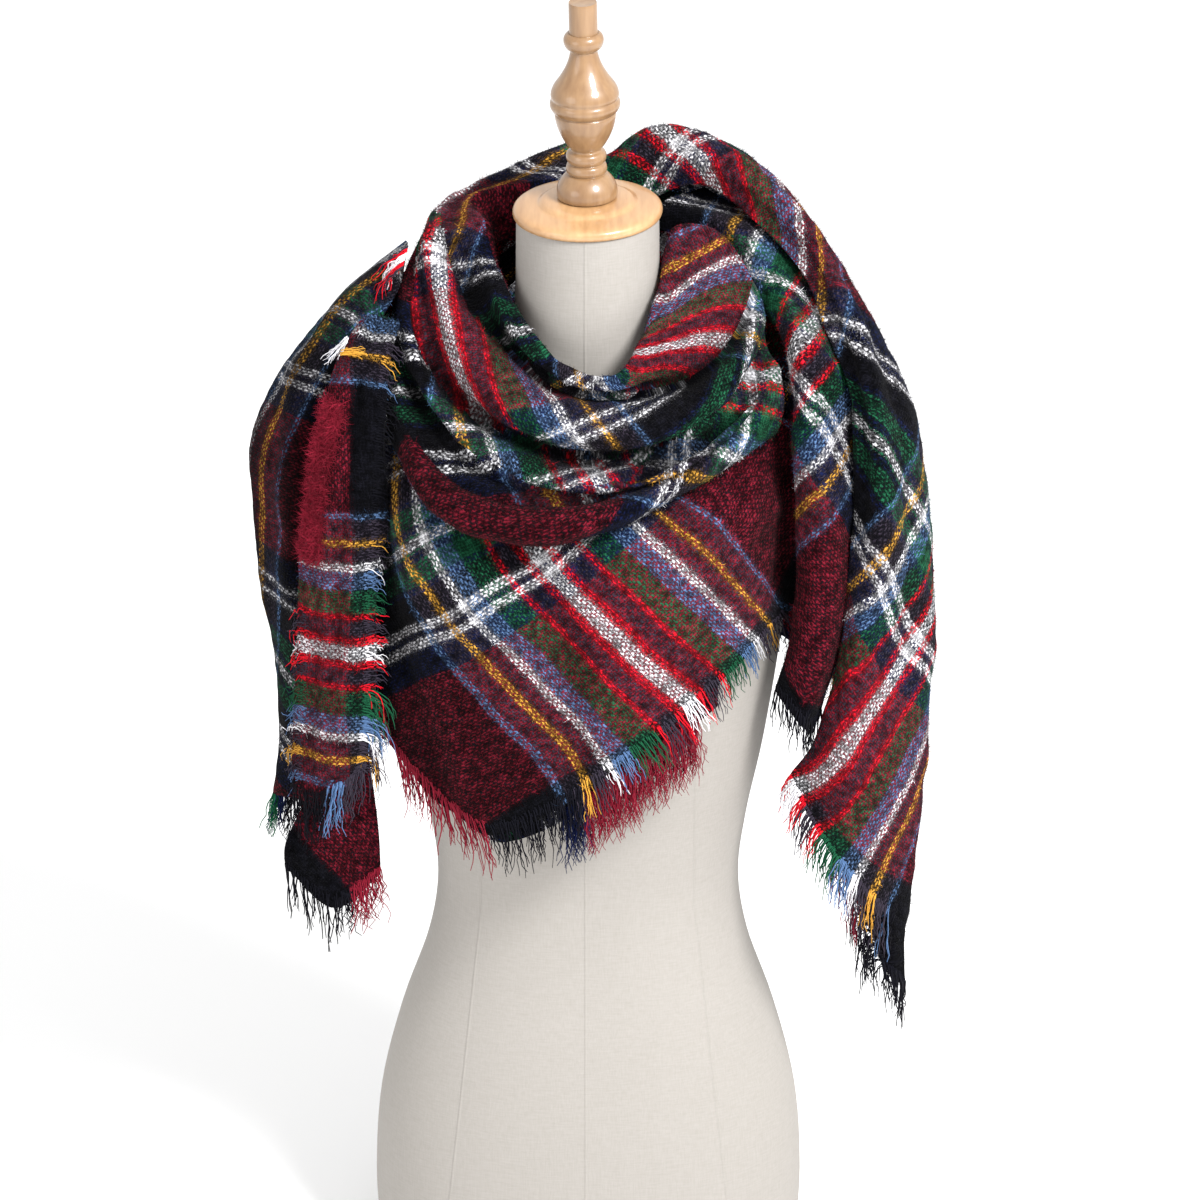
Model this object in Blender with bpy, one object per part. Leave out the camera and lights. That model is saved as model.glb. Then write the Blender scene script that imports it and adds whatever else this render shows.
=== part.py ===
"""A square plaid blanket scarf, folded to a triangle and wound round a limbless dress form.

Metres, +Z up.  The dress form stands on its flat base at Z = 0 and its axis is the Z axis.
X runs to the wearer's left, and -Y is the front.  Fold tables are in millimetres.
"""
import math

import bpy
import numpy as np

MM = 0.001
SEAM = 0.3 * MM                 # gap between two solids that touch
CLOTH = 2.4 * MM                # brushed cloth, pressed flat
STRIP = 4.0 * MM                # width of the strip that carries a fringe
STRIP_WALL = 1.8 * MM

# ---------------------------------------------------------------- dress form sizes
NECK_TOP = 866.0                # height of the slanted neck plane on the axis
NECK_TILT = math.radians(4.0)   # the neck plane falls towards the front
NECK_ROLL = math.radians(1.2)   # and leans a little to the wearer's right
FORM_SIDES = 36
SQUARENESS = 2.25               # exponent of the torso's section, 2 is an ellipse

# height, half width, depth to the front, depth to the back, share of the neck tilt
FORM_RINGS = [
    (0, 168, 112, 120, 0.0),
    (60, 171, 114, 122, 0.0),
    (130, 166, 111, 119, 0.0),
    (200, 149, 102, 108, 0.0),
    (265, 127, 90, 92, 0.0),
    (320, 119, 86, 84, 0.0),
    (375, 125, 94, 86, 0.0),
    (440, 138, 108, 93, 0.0),
    (520, 150, 122, 99, 0.0),
    (580, 156, 113, 102, 0.0),
    (640, 161, 92, 101, 0.0),
    (685, 160, 72, 94, 0.0),
    (712, 132, 60, 82, 0.1),
    (735, 88, 55, 68, 0.3),
    (760, 63, 54, 58, 0.5),
    (800, 56, 54, 55, 0.8),
    (866, 54.5, 54, 54, 1.0),
]

# turned wooden neck cap: height above the neck plane, radius
CAP_PROFILE = [
    (0.3, 54.0), (1.5, 56.5), (4.5, 57.3), (7.5, 56.3), (9.3, 53.0), (10.4, 46.0),
    (11.2, 39.0), (12.6, 36.6), (14.0, 34.0), (14.8, 28.0), (15.4, 23.6),
]
FINIAL_FOOT = 15.7
# turned finial: height above the neck plane, radius
FINIAL_PROFILE = [
    (15.7, 21.6), (17.0, 23.0), (21.0, 23.2), (26.0, 22.3), (31.0, 19.4), (34.5, 16.0),
    (35.4, 14.2), (37.0, 15.3), (39.5, 15.7), (42.6, 14.8), (44.0, 13.2),
    (45.6, 14.6), (49.0, 15.4), (52.6, 14.4), (54.8, 11.6),
    (59.5, 14.9), (66.5, 18.8), (73.5, 21.5), (80.0, 23.0), (83.5, 23.3),
    (84.8, 22.6), (86.4, 24.6), (90.0, 26.6), (93.2, 26.6), (95.4, 25.6),
    (96.4, 25.4), (99.0, 26.0), (103.0, 25.2), (107.0, 23.2), (113.0, 18.9),
    (120.0, 14.8), (127.0, 11.9), (133.6, 10.4), (135.0, 11.0),
    (137.2, 13.6), (140.4, 15.0), (143.6, 15.3), (146.6, 14.2), (148.6, 12.0),
    (149.2, 10.9), (160.0, 10.8), (171.8, 10.7), (172.6, 9.9),
]
TURNED_SIDES = 18

# ---------------------------------------------------------------- front cowl
# One row a fold line, from the neck edge down.  Each line hangs from its wearer's-right
# end (r) over its lowest point (m) to its wearer's-left end (l).  bend_r and bend_l say how
# far the line leans out of the plumb before it turns, 0 square and 0.5 straight.
COWL_COLUMNS = ("r_x", "r_y", "r_z", "m_x", "m_y", "m_z", "l_x", "l_y", "l_z",
                "bend_r", "bend_l")
COWL_FOLDS = [
    ("neck edge", -72, 30, 830, 17, -78, 738, 68, 12, 806, 0.00, 0.04),
    ("collar crest", -77, 22, 850, 18, -92, 768, 65, 12, 850, 0.28, 0.54),
    ("collar shoulder", -88, 22, 853, 14, -97, 760, 100, 14, 848, 0.29, 0.36),
    ("collar valley", -100, 16, 846, 9, -86, 750, 129, -4, 810, 0.30, 0.12),
    ("first swag", -122, 6, 850, 12, -126, 732, 136, -16, 788, 0.18, 0.15),
    ("first valley", -128, 0, 824, 9, -111, 709, 138, -32, 769, 0.12, 0.18),
    ("second swag", -140, -24, 800, 2, -141, 697, 146, -46, 760, 0.15, 0.36),
    ("second valley", -147, -22, 774, -6, -135, 687, 147, -52, 754, 0.20, 0.46),
    ("third swag", -152, -40, 750, -18, -154, 683, 149, -60, 738, 0.18, 0.51),
    ("deep swag", -153, -45, 728, -34, -170, 670, 147, -62, 722, 0.14, 0.60),
    ("swag underside", -148, -44, 712, -38, -156, 658, 143, -58, 711, 0.14, 0.64),
    ("tucked edge", -141, -40, 708, -36, -140, 663, 139, -49, 707, 0.14, 0.68),
]
# where the same fold lines go on over the wearer's right shoulder (s) to the nape (n)
WRAP_COLUMNS = ("s_x", "s_y", "s_z", "n_x", "n_y", "n_z")
COWL_WRAP = [
    ("neck edge", -58, 46, 830, 8, 58.6, 826),
    ("collar crest", -80, 52, 862, 8, 74, 866),
    ("collar shoulder", -86, 56, 864, 8, 82, 880),
    ("collar valley", -92, 58, 862, 8, 90, 888),
    ("first swag", -100, 60, 864, 8, 104, 898),
    ("first valley", -112, 62, 852, 8, 116, 896),
    ("second swag", -124, 54, 822, 8, 128, 886),
    ("second valley", -130, 50, 800, 8, 134, 874),
    ("third swag", -136, 44, 778, 8, 130, 862),
    ("deep swag", -137, 40, 758, 8, 126, 850),
    ("swag underside", -132, 36, 742, 8, 121, 840),
    ("tucked edge", -124, 34, 736, 8, 115, 832),
]

# ---------------------------------------------------------------- sheets set out by sections
# Each row is a section across the cloth, given by a few points x, y, z.
SECTION_COLUMNS = ("x", "y", "z")

# front point of the triangle, rows from under the cowl down to the hem,
# points from the wearer's right edge to the left edge
POINT_TOP = [
    ((-162, -38, 694), (-141, -57, 697.5), (-116, -84, 684), (-78, -106, 674),
     (-10, -112, 674), (56, -94, 682), (110, -62, 693), (140, -44, 697)),
    ((-174, -50, 658), (-151, -86, 664), (-127, -114, 640), (-82, -136, 620),
     (-12, -144, 630), (54, -134, 648), (114, -104, 662), (150, -56, 660)),
    ((-176, -54, 590), (-149, -90, 592), (-124, -112, 570), (-84, -134, 552),
     (-14, -148, 568), (50, -142, 596), (111, -112, 622), (150, -58, 632)),
    ((-168, -62, 515), (-141, -94, 505), (-114, -113, 485), (-80, -133, 472),
     (-17, -150, 496), (45, -147, 536), (105, -118, 570), (149, -60, 594)),
    ((-152, -84, 455), (-124, -100, 421), (-98, -113, 404), (-70, -130, 396),
     (-20, -148, 428), (40, -148, 478), (98, -122, 522), (148, -62, 552)),
]
UNDER_INSET = 7.0               # the second layer of the point lies this far behind the first

RIGHT_OUTER = [
    ((-22, 82, 846), (-22, 86, 860), (-21, 96, 868), (-20, 104, 850)),
    ((10, 82, 848), (11, 91, 872), (12, 104, 880), (14, 120, 852)),
    ((42, 76, 852), (48, 84, 889), (56, 102, 905), (76, 160, 854)),
    ((88, 62, 870), (96, 66, 890), (113, 76, 898), (138, 126, 842)),
    ((131, 24, 850), (136, 28, 872), (152, 38, 874), (176, 94, 816)),
    ((164, -4, 820), (171, 0, 840), (185, 8, 836), (206, 68, 780)),
    ((179, -35, 790), (197, -38, 804), (223, -6, 774), (234, 58, 720)),
    ((200, -58, 736), (218, -70, 740), (249, -20, 715), (244, 46, 670)),
    ((202, -74, 640), (227, -92, 650), (263, -35, 631), (254, 30, 598)),
    ((195, -80, 546), (216, -96, 548), (266, -45, 526), (256, 12, 504)),
    ((177, -79, 470), (206, -98, 455), (263, -52, 420), (253, -6, 404)),
    ((156, -66, 428), (200, -93, 358), (256, -60, 296), (250, -38, 292)),
]
RIGHT_INNER = [
    ((48, 58, 838), (54, 57, 850), (62, 60, 858), (76, 74, 858), (90, 90, 858)),
    ((98, 34, 826), (104, 26, 837), (114, 22, 846), (127, 28, 845), (141, 40, 842)),
    ((136, 2, 788), (137.2, -10, 797), (149, -17, 810), (161, -4, 810), (175, 10, 811)),
    ((153, -26, 766), (151, -38, 775), (161, -49, 784), (175, -40, 783), (190, -22, 783)),
    ((158, -40, 746), (157, -54, 751), (166, -64, 760), (183, -55, 758), (200, -35, 756)),
    ((159, -50, 720), (158, -65, 725), (170, -76, 732), (188, -62, 730), (208, -42, 726)),
    ((159, -60, 696), (157, -73, 700), (174, -88, 702), (189, -74, 698), (208, -46, 694)),
    ((164, -62, 633), (161, -76, 635), (174, -94, 638), (191.3, -87, 636), (207.3, -58, 632)),
    ((162, -62, 560), (158, -78, 562), (170, -94, 564), (187.3, -90, 564), (201.3, -62, 560)),
    ((152, -64, 508), (147, -76, 504), (156, -90, 494), (168, -94, 480), (178, -64, 476)),
]
RIGHT_UNDER = [
    ((190, -76, 460), (228, -81.8, 452), (250, -56, 446)),
    ((192, -74, 392), (230, -74, 376), (249, -54, 366)),
    ((212, -70, 326), (235, -68.5, 308), (248, -54, 296)),
    ((232, -64, 268), (242, -62, 254), (250, -56, 242)),
]
LEFT_OUTER = [
    ((-143.5, 10, 806), (-139, 30, 828), (-141, 58, 824), (-149, 100.4, 781)),
    ((-159, -16, 784), (-168, -2, 806), (-188, 20, 794), (-202, 76, 742)),
    ((-167, -28, 762), (-188, -22, 784), (-218, 6, 758), (-228, 64, 706)),
    ((-173, -38, 736), (-204, -44, 748), (-240, -6, 726), (-242, 54, 678)),
    ((-182, -46, 698), (-220, -56, 703), (-255, -16, 686), (-247, 42, 650)),
    ((-188, -50, 618), (-221, -62, 622), (-252, -22, 602), (-243, 32, 576)),
    ((-190, -52, 540), (-218, -64, 542), (-243, -27, 524), (-236, 20, 504)),
    ((-194, -53, 472), (-219, -64, 470), (-240, -32, 452), (-234, 6, 436)),
    ((-199, -54, 418), (-224, -62, 410), (-245, -38, 402), (-240, -10, 394)),
]
LEFT_FRONT = [
    ((-170, -44, 800), (-162, -48, 803), (-152, -47, 800), (-143, -44, 794)),
    ((-188, -60, 774), (-176, -68, 775), (-162, -70, 774), (-150, -66, 768)),
    ((-202, -72, 726), (-185, -86, 724), (-168, -90, 722), (-154, -86, 718)),
    ((-213, -74, 663), (-195, -92, 662), (-175, -98, 659), (-152.1, -89.2, 656)),
    ((-220, -75, 606), (-201, -96, 606), (-179, -104, 605), (-161, -99, 603)),
    ((-223, -76, 542), (-202, -97, 544), (-179, -106, 543), (-162, -101, 543)),
    ((-228, -76, 476), (-207, -96, 476), (-184, -104, 478), (-166, -100, 482)),
    ((-229, -76, 416), (-211, -92, 418), (-191, -100, 432), (-172, -98, 450)),
]
LEFT_UNDER = [
    ((-206, -63.6, 446), (-190, -68, 448), (-171, -63, 450)),
    ((-222, -64.2, 404), (-198, -70, 408), (-166, -65, 410)),
    ((-236, -65, 372), (-200, -73, 368), (-163, -67, 376)),
    ((-237, -60, 349), (-199, -69, 318), (-162, -67, 346)),
]
# where a tuft of the scarf's other edge comes out beside the neck roll, x, y, z
SHOULDER_TUFT = [(-138, 16, 837.2), (-140, 5, 832.2), (-142, -6, 826.2)]
TUFT_RUN = (-0.85, -0.15, -0.5)
# the two bands that cross on the wearer's back: rows run down from the neck roll,
# points from the wearer's right side to the left side
BACK_OVER = [
    ((-124, 66, 792), (-131, 86, 796), (-74, 124, 834), (0, 138, 846), (62, 124, 856),
     (112, 92, 852), (140, 58, 830)),
    ((-178, 50, 732), (-194, 68, 738), (-100, 142, 776), (5, 162, 800), (108, 146, 816),
     (190, 70, 790), (176, 40, 798)),
    ((-212, 28, 648), (-239, 42, 650), (-125, 146, 692), (10, 176, 740), (128, 150, 768),
     (214, 62, 746), (206, 38, 744)),
    ((-208, 12, 548), (-233, 27, 548), (-142, 140, 598), (5, 172, 676), (142, 150, 722),
     (229, 54, 708), (222, 26, 706)),
    ((-204, -4, 456), (-227, 10, 452), (-142, 126, 512), (-5, 164, 612), (142, 146, 682),
     (237, 44, 668), (228, 18, 668)),
]
BACK_UNDER = [
    ((-208, 24, 668), (-122, 122, 690), (0, 146, 690), (120, 130, 700), (214, 46, 676),
     (206, 20, 676)),
    ((-212, 16, 640), (-124, 118, 650), (8, 148, 640), (138, 126, 630), (246.6, 30.6, 600),
     (236, 6, 600)),
    ((-212, 10, 612), (-120, 116, 616), (14, 146, 590), (142, 120, 556), (250, 14, 510),
     (237, -8, 510)),
    ((-206, 10, 590), (-108, 112, 586), (22, 140, 548), (140, 110, 488), (245, 0, 430),
     (234, -16, 430)),
]


def material(name, colour, roughness):
    """A plain finish with one colour."""
    finish = bpy.data.materials.new(name)
    finish.use_nodes = True
    surface = finish.node_tree.nodes["Principled BSDF"]
    surface.inputs["Base Color"].default_value = (*colour, 1.0)
    surface.inputs["Roughness"].default_value = roughness
    return finish


LINEN = material("pale linen", (0.62, 0.58, 0.53), 0.85)
WOOD = material("varnished wood", (0.66, 0.38, 0.17), 0.35)
CRIMSON = material("crimson cloth", (0.33, 0.02, 0.04), 0.95)
TARTAN = material("navy and green cloth", (0.03, 0.06, 0.08), 0.95)
YARN = material("loose yarn", (0.40, 0.05, 0.06), 0.95)


def solid(name, points, faces, finish, smooth=True):
    """A mesh object in world place from a list of points and faces."""
    mesh = bpy.data.meshes.new(name)
    mesh.from_pydata([tuple(point) for point in points], [], faces)
    mesh.validate()
    if smooth:
        mesh.shade_smooth()
    mesh.materials.append(finish)
    piece = bpy.data.objects.new(name, mesh)
    bpy.context.scene.collection.objects.link(piece)
    return piece


def spline(points, steps):
    """Catmull-Rom curve through the rows of points, with a number of steps a span."""
    points = np.asarray(points, dtype=float)
    before = 2 * points[:1] - points[1:2]
    after = 2 * points[-1:] - points[-2:-1]
    padded = np.concatenate([before, points, after])
    pieces = []
    for span in range(len(points) - 1):
        a, b, c, d = padded[span:span + 4]
        t = np.arange(steps) / steps
        t = t.reshape((-1,) + (1,) * a.ndim)
        pieces.append(0.5 * (2 * b + (c - a) * t + (2 * a - 5 * b + 4 * c - d) * t ** 2
                             + (3 * b - a - 3 * c + d) * t ** 3))
    pieces.append(points[-1:])
    return np.concatenate(pieces)


def sections_to_grid(sections, steps_along, steps_across):
    """Points of a sheet through its sections, as an array along x across x 3, in metres."""
    net = np.array(sections, dtype=float)
    grid = spline(net, steps_along)
    grid = spline(grid.transpose(1, 0, 2), steps_across).transpose(1, 0, 2)
    return grid * MM


def hanging_line(fold, count):
    """Points of one fold line: two parabolas that meet level at its lowest point."""
    values = dict(zip(COWL_COLUMNS, fold[1:]))
    low = np.array([values["m_x"], values["m_y"], values["m_z"]], dtype=float)
    halves = []
    for side in ("r", "l"):
        end = np.array([values[side + "_x"], values[side + "_y"], values[side + "_z"]])
        turn = np.array([end[0] + values["bend_" + side] * (low[0] - end[0]), low[1], low[2]])
        t = np.linspace(0.0, 1.0, count // 2 + 1)[:, None]
        halves.append((1 - t) ** 2 * end + 2 * t * (1 - t) * turn + t ** 2 * low)
    return np.concatenate([halves[0], halves[1][-2::-1]])


def wrapped_line(fold, wrap, count, steps):
    """A hanging line led on from its first end over the shoulder to the nape."""
    line = hanging_line(fold, count)
    places = dict(zip(WRAP_COLUMNS, wrap[1:]))
    nape = [places["n_x"], places["n_y"], places["n_z"]]
    shoulder = [places["s_x"], places["s_y"], places["s_z"]]
    led = spline(np.array([nape, shoulder, line[0], line[1]], dtype=float), steps)
    return np.concatenate([led[:2 * steps], line])


def cowl_grid(count, lead, steps):
    """Points of the cowl, fold lines x points along them x 3, in metres."""
    lines = [wrapped_line(fold, wrap, count, lead)
             for fold, wrap in zip(COWL_FOLDS, COWL_WRAP)]
    return spline(np.array(lines), steps) * MM


def unit(vectors):
    """The same vectors at length one."""
    return vectors / np.maximum(np.linalg.norm(vectors, axis=-1, keepdims=True), 1e-12)


def sheet_normals(grid):
    """Unit normals of a sheet from the differences along and across it."""
    along = np.gradient(grid, axis=0)
    across = np.gradient(grid, axis=1)
    return unit(np.cross(across, along))


def cloth(name, grid, finish, thickness=CLOTH):
    """A closed wall of cloth, half its thickness to each side of the sheet's points."""
    rows, columns = grid.shape[:2]
    offset = sheet_normals(grid) * thickness / 2
    points = np.concatenate([(grid + offset).reshape(-1, 3), (grid - offset).reshape(-1, 3)])
    index = np.arange(rows * columns).reshape(rows, columns)
    back = index + rows * columns
    quads = np.stack([index[:-1, :-1], index[:-1, 1:], index[1:, 1:], index[1:, :-1]], axis=-1)
    faces = quads.reshape(-1, 4).tolist()
    faces += (quads[..., ::-1] + rows * columns).reshape(-1, 4).tolist()
    rim = [index[0, :], index[:, -1], index[-1, ::-1], index[::-1, 0]]
    rim_back = [back[0, :], back[:, -1], back[-1, ::-1], back[::-1, 0]]
    for front_edge, back_edge in zip(rim, rim_back):
        faces += [(int(front_edge[i + 1]), int(front_edge[i]), int(back_edge[i]),
                   int(back_edge[i + 1])) for i in range(len(front_edge) - 1)]
    return solid(name, points, faces, finish)


def fringe(name, edge, outward, normals, per_span, length, finish, droop=0.5, share=0.45):
    """A narrow strip just off a cloth edge with four-sided strands fused to it.

    edge, outward and normals give the edge's points, the direction off the cloth and the
    cloth's normal there.  Each span of the edge carries per_span strands, which run outward
    and bend down by the share droop."""
    strands = per_span * (len(edge) - 1)
    places = np.arange(2 * strands + 1) / (2.0 * per_span)
    places[1::2] += (share - 0.5) / per_span
    low = np.minimum(places.astype(int), len(edge) - 2)
    part = (places - low)[:, None]
    base = edge[low] * (1 - part) + edge[low + 1] * part
    away = unit(outward[low] * (1 - part) + outward[low + 1] * part)
    face = unit(normals[low] * (1 - part) + normals[low + 1] * part)
    stations = len(places)
    inner = base + away * SEAM
    outer = base + away * (SEAM + STRIP)
    half = face * STRIP_WALL / 2
    points = np.concatenate([inner + half, outer + half, outer - half, inner - half])
    it, ot, ob, ib = (np.arange(stations) + k * stations for k in range(4))
    faces = []
    for k in range(stations - 1):
        faces.append((it[k], it[k + 1], ot[k + 1], ot[k]))
        faces.append((ib[k + 1], ib[k], ob[k], ob[k + 1]))
        faces.append((it[k + 1], it[k], ib[k], ib[k + 1]))
        if k % 2:
            faces.append((ot[k], ot[k + 1], ob[k + 1], ob[k]))
    faces.append((it[0], ot[0], ob[0], ib[0]))
    faces.append((ib[-1], ob[-1], ot[-1], it[-1]))
    extra = []
    first = 4 * stations
    down = np.array([0.0, 0.0, -1.0])
    for strand in range(strands):
        k = 2 * strand
        root = [ot[k], ot[k + 1], ob[k + 1], ob[k]]
        corners = points[root]
        centre = corners.mean(axis=0)
        reach = length * (0.86 + 0.14 * math.sin(2.3 * strand) * math.cos(1.1 * strand))
        run = unit(away[k] + away[k + 1])
        fall = unit(run * (1 - droop) + down * droop)
        half_way = unit(run + fall) * reach * 0.5
        middle = corners * 0.72 + centre * 0.28 + half_way
        number = first + len(extra)
        extra.extend(middle)
        extra.append(centre + half_way + fall * reach * 0.5)
        for side in range(4):
            following = (side + 1) % 4
            faces.append((root[side], root[following], number + following, number + side))
            faces.append((number + side, number + following, number + 4))
    points = np.concatenate([points, np.array(extra)])
    faces = [tuple(int(i) for i in corner) for corner in faces]
    return solid(name, points, faces, finish, smooth=False)


def edge_of(grid, side, start=0, stop=None):
    """A stretch of a sheet's edge, the directions off it and its normals, for fringe()."""
    normals = sheet_normals(grid)
    if side == "hem":
        edge, inside, normal = grid[-1], grid[-2], normals[-1]
    elif side == "first":
        edge, inside, normal = grid[:, 0], grid[:, 1], normals[:, 0]
    else:
        edge, inside, normal = grid[:, -1], grid[:, -2], normals[:, -1]
    outward = np.cross(normal, unit(np.gradient(edge, axis=0)))
    outward *= np.sign((outward * (edge - inside)).sum(axis=1, keepdims=True))
    picked = [values[start:stop] for values in (edge, unit(outward), normal)]
    return [values[::-1] for values in picked] if side == "last" else picked


def pleated(grid, pleats, depth, skew=0.0):
    """The sheet with rounded pleats that run along it, deepest in its middle.

    Each point moves along its normal by depth x cos(pleats x 2 pi x (across + skew x along)),
    faded to nothing at the four edges."""
    rows, columns = grid.shape[:2]
    along, across = np.meshgrid(np.linspace(0, 1, rows), np.linspace(0, 1, columns),
                                indexing="ij")
    fade = np.sin(math.pi * across) * np.sin(math.pi * (0.12 + 0.88 * along)) ** 0.5
    wave = np.cos(2 * math.pi * pleats * (across + skew * along))
    shift = depth * MM * np.nan_to_num(fade) * wave
    return grid + sheet_normals(grid) * shift[..., None]


def under_layer(grid, first_row, inset, drop, drift):
    """A second layer behind the lower rows of a sheet, let down along part of its hem."""
    rows, columns = grid.shape[:2]
    layer = grid + sheet_normals(grid) * inset * MM
    lower = layer[first_row:].copy()
    share = np.linspace(0, 1, rows - first_row)[:, None] ** 2
    side = np.clip(np.linspace(-1.2, 1.6, columns), -0.5, 1)[None, :]
    lower[..., 2] -= drop * MM * share * side
    lower[..., 0] += drift * MM * share * np.maximum(side, 0)
    return lower


def tilt(points, share):
    """Turns points given about the neck plane's centre by a share of the neck's slant."""
    lean, roll = NECK_TILT * share, NECK_ROLL * share
    x, y, z = points[:, 0], points[:, 1], points[:, 2]
    y, z = y * math.cos(lean) - z * math.sin(lean), y * math.sin(lean) + z * math.cos(lean)
    x, z = x * math.cos(roll) - z * math.sin(roll), x * math.sin(roll) + z * math.cos(roll)
    return np.stack([x, y, z], axis=1)


def skin(name, rings, finish):
    """A closed body through equal rings of points, capped flat at both ends."""
    count = len(rings[0])
    points = np.concatenate(rings)
    faces = []
    for ring in range(len(rings) - 1):
        for side in range(count):
            a, b = ring * count + side, ring * count + (side + 1) % count
            faces.append((a, b, b + count, a + count))
    faces.append(tuple(range(count - 1, -1, -1)))
    faces.append(tuple(range((len(rings) - 1) * count, len(rings) * count)))
    piece = solid(name, points * MM, faces, finish)
    piece.data.set_sharp_from_angle(angle=math.radians(40))
    return piece


def dress_form():
    """The linen torso and neck, rings of a squared ellipse, flat underneath."""
    angles = np.arange(FORM_SIDES) / FORM_SIDES * 2 * math.pi
    cosine, sine = np.cos(angles), np.sin(angles)
    power = 2.0 / SQUARENESS
    rings = []
    for height, half_width, front, back, share in FORM_RINGS:
        square = np.clip((half_width - 60) / 60, 0, 1)
        bend = 1 + (power - 1) * square
        x = half_width * np.sign(cosine) * np.abs(cosine) ** bend
        depth = np.where(sine < 0, front, back)
        y = depth * np.sign(sine) * np.abs(sine) ** bend
        ring = tilt(np.stack([x, y, np.zeros(FORM_SIDES)], axis=1), share)
        rings.append(ring + np.array([0.0, 0.0, height]))
    return skin("dress_form", rings, LINEN)


def turned(name, profile):
    """A turned wooden piece that stands square on the slanted neck plane."""
    angles = np.arange(TURNED_SIDES) / TURNED_SIDES * 2 * math.pi
    circle = np.stack([np.cos(angles), np.sin(angles)], axis=1)
    rings = []
    for height, radius in profile:
        flat = np.concatenate([circle * radius, np.full((TURNED_SIDES, 1), height)], axis=1)
        rings.append(tilt(flat, 1.0) + np.array([0.0, 0.0, NECK_TOP]))
    return skin(name, rings, WOOD)


def clear_scene():
    for piece in list(bpy.data.objects):
        bpy.data.objects.remove(piece, do_unlink=True)


def build():
    clear_scene()
    dress_form()
    turned("neck_cap", CAP_PROFILE)
    turned("finial", FINIAL_PROFILE)

    cloth("scarf_cowl", cowl_grid(22, 4, 2), TARTAN)

    point = sections_to_grid(POINT_TOP, 3, 2)
    cloth("scarf_point_top", point, CRIMSON)
    fringe("fringe_point_hem", *edge_of(point, "hem", 4, 14), 3, 0.020, YARN)
    fringe("fringe_point_side", *edge_of(point, "first", 9), 2, 0.014, YARN, 0.4)
    second = under_layer(point, 6, UNDER_INSET, 14, 6)[:, :13]
    cloth("scarf_point_under", second, TARTAN)
    fringe("fringe_point_under", *edge_of(second, "hem", 5, 12), 3, 0.028, YARN)

    outer = sections_to_grid(RIGHT_OUTER, 2, 2)
    cloth("scarf_right_outer", outer, TARTAN)
    fringe("fringe_right_outer", *edge_of(outer, "hem", 0, 5), 5, 0.026, YARN)

    inner = sections_to_grid(RIGHT_INNER, 2, 2)
    cloth("scarf_right_inner", inner, CRIMSON)
    fringe("fringe_right_inner", *edge_of(inner, "hem", 2, 6), 2, 0.022, YARN)

    under = sections_to_grid(RIGHT_UNDER, 2, 2)
    cloth("scarf_right_under", under, CRIMSON)
    fringe("fringe_right_under", *edge_of(under, "first", 2), 3, 0.022, YARN)

    left = sections_to_grid(LEFT_OUTER, 2, 2)
    cloth("scarf_left_outer", left, TARTAN)
    fringe("fringe_left_outer", *edge_of(left, "hem", 3), 3, 0.022, YARN)

    tuft = np.array(SHOULDER_TUFT) * MM
    run = unit(np.tile(TUFT_RUN, (len(tuft), 1)))
    facing = unit(np.cross(np.gradient(tuft, axis=0), run))
    fringe("fringe_shoulder", tuft, run, facing, 2, 0.024, YARN)

    front = sections_to_grid(LEFT_FRONT, 2, 2)
    cloth("scarf_left_front", front, CRIMSON)
    fringe("fringe_left_front", *edge_of(front, "hem"), 3, 0.030, YARN)
    fringe("fringe_left_side", *edge_of(front, "last", 8, 14), 2, 0.009, YARN, 0.2)

    lower = sections_to_grid(LEFT_UNDER, 2, 2)
    cloth("scarf_left_under", lower, CRIMSON)
    fringe("fringe_left_under", *edge_of(lower, "hem"), 4, 0.026, YARN)

    over = pleated(sections_to_grid(BACK_OVER, 3, 3), 4, 6, 0.25)
    cloth("scarf_back_over", over, TARTAN)
    fringe("fringe_back_over", *edge_of(over, "hem", 3, 16), 2, 0.022, YARN)
    crossed = pleated(sections_to_grid(BACK_UNDER, 2, 3), 3, 4, -0.25)
    cloth("scarf_back_under", crossed, CRIMSON)
    fringe("fringe_back_under", *edge_of(crossed, "hem", 7, 13), 2, 0.022, YARN)


build()
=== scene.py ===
import math

import bpy
import numpy as np
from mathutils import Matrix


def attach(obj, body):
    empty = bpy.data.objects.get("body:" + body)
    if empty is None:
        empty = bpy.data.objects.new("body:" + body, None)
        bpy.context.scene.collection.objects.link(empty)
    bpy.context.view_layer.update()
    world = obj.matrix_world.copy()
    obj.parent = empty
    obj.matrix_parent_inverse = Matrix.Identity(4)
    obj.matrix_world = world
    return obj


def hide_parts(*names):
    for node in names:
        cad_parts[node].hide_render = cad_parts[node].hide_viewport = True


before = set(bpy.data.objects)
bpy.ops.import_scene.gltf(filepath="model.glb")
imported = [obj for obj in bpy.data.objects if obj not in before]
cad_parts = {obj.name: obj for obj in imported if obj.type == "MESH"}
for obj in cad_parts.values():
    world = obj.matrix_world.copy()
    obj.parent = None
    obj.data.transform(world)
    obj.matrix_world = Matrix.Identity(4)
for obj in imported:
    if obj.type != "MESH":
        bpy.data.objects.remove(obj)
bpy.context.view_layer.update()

# ============================================================ the studio
# A large pale floor, an even white sky and two big soft lamps, with the camera in front and
# a little above.  None of it is part of the object.
MM = 0.001
CAMERA_PLACE = (0.0094, -4.636, 2.423)
CAMERA_PITCH = 68.0             # degrees, 90 looks level
CAMERA_LENS = 192.3
FLOOR_HALF = 9.0
FLOOR_TONES = ((0.92, 0.92, 0.92, 1.0), (0.95, 0.95, 0.95, 1.0))
SKY_COLOUR = (1.0, 1.0, 1.0, 1.0)
SKY_STRENGTH = 1.04
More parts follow.
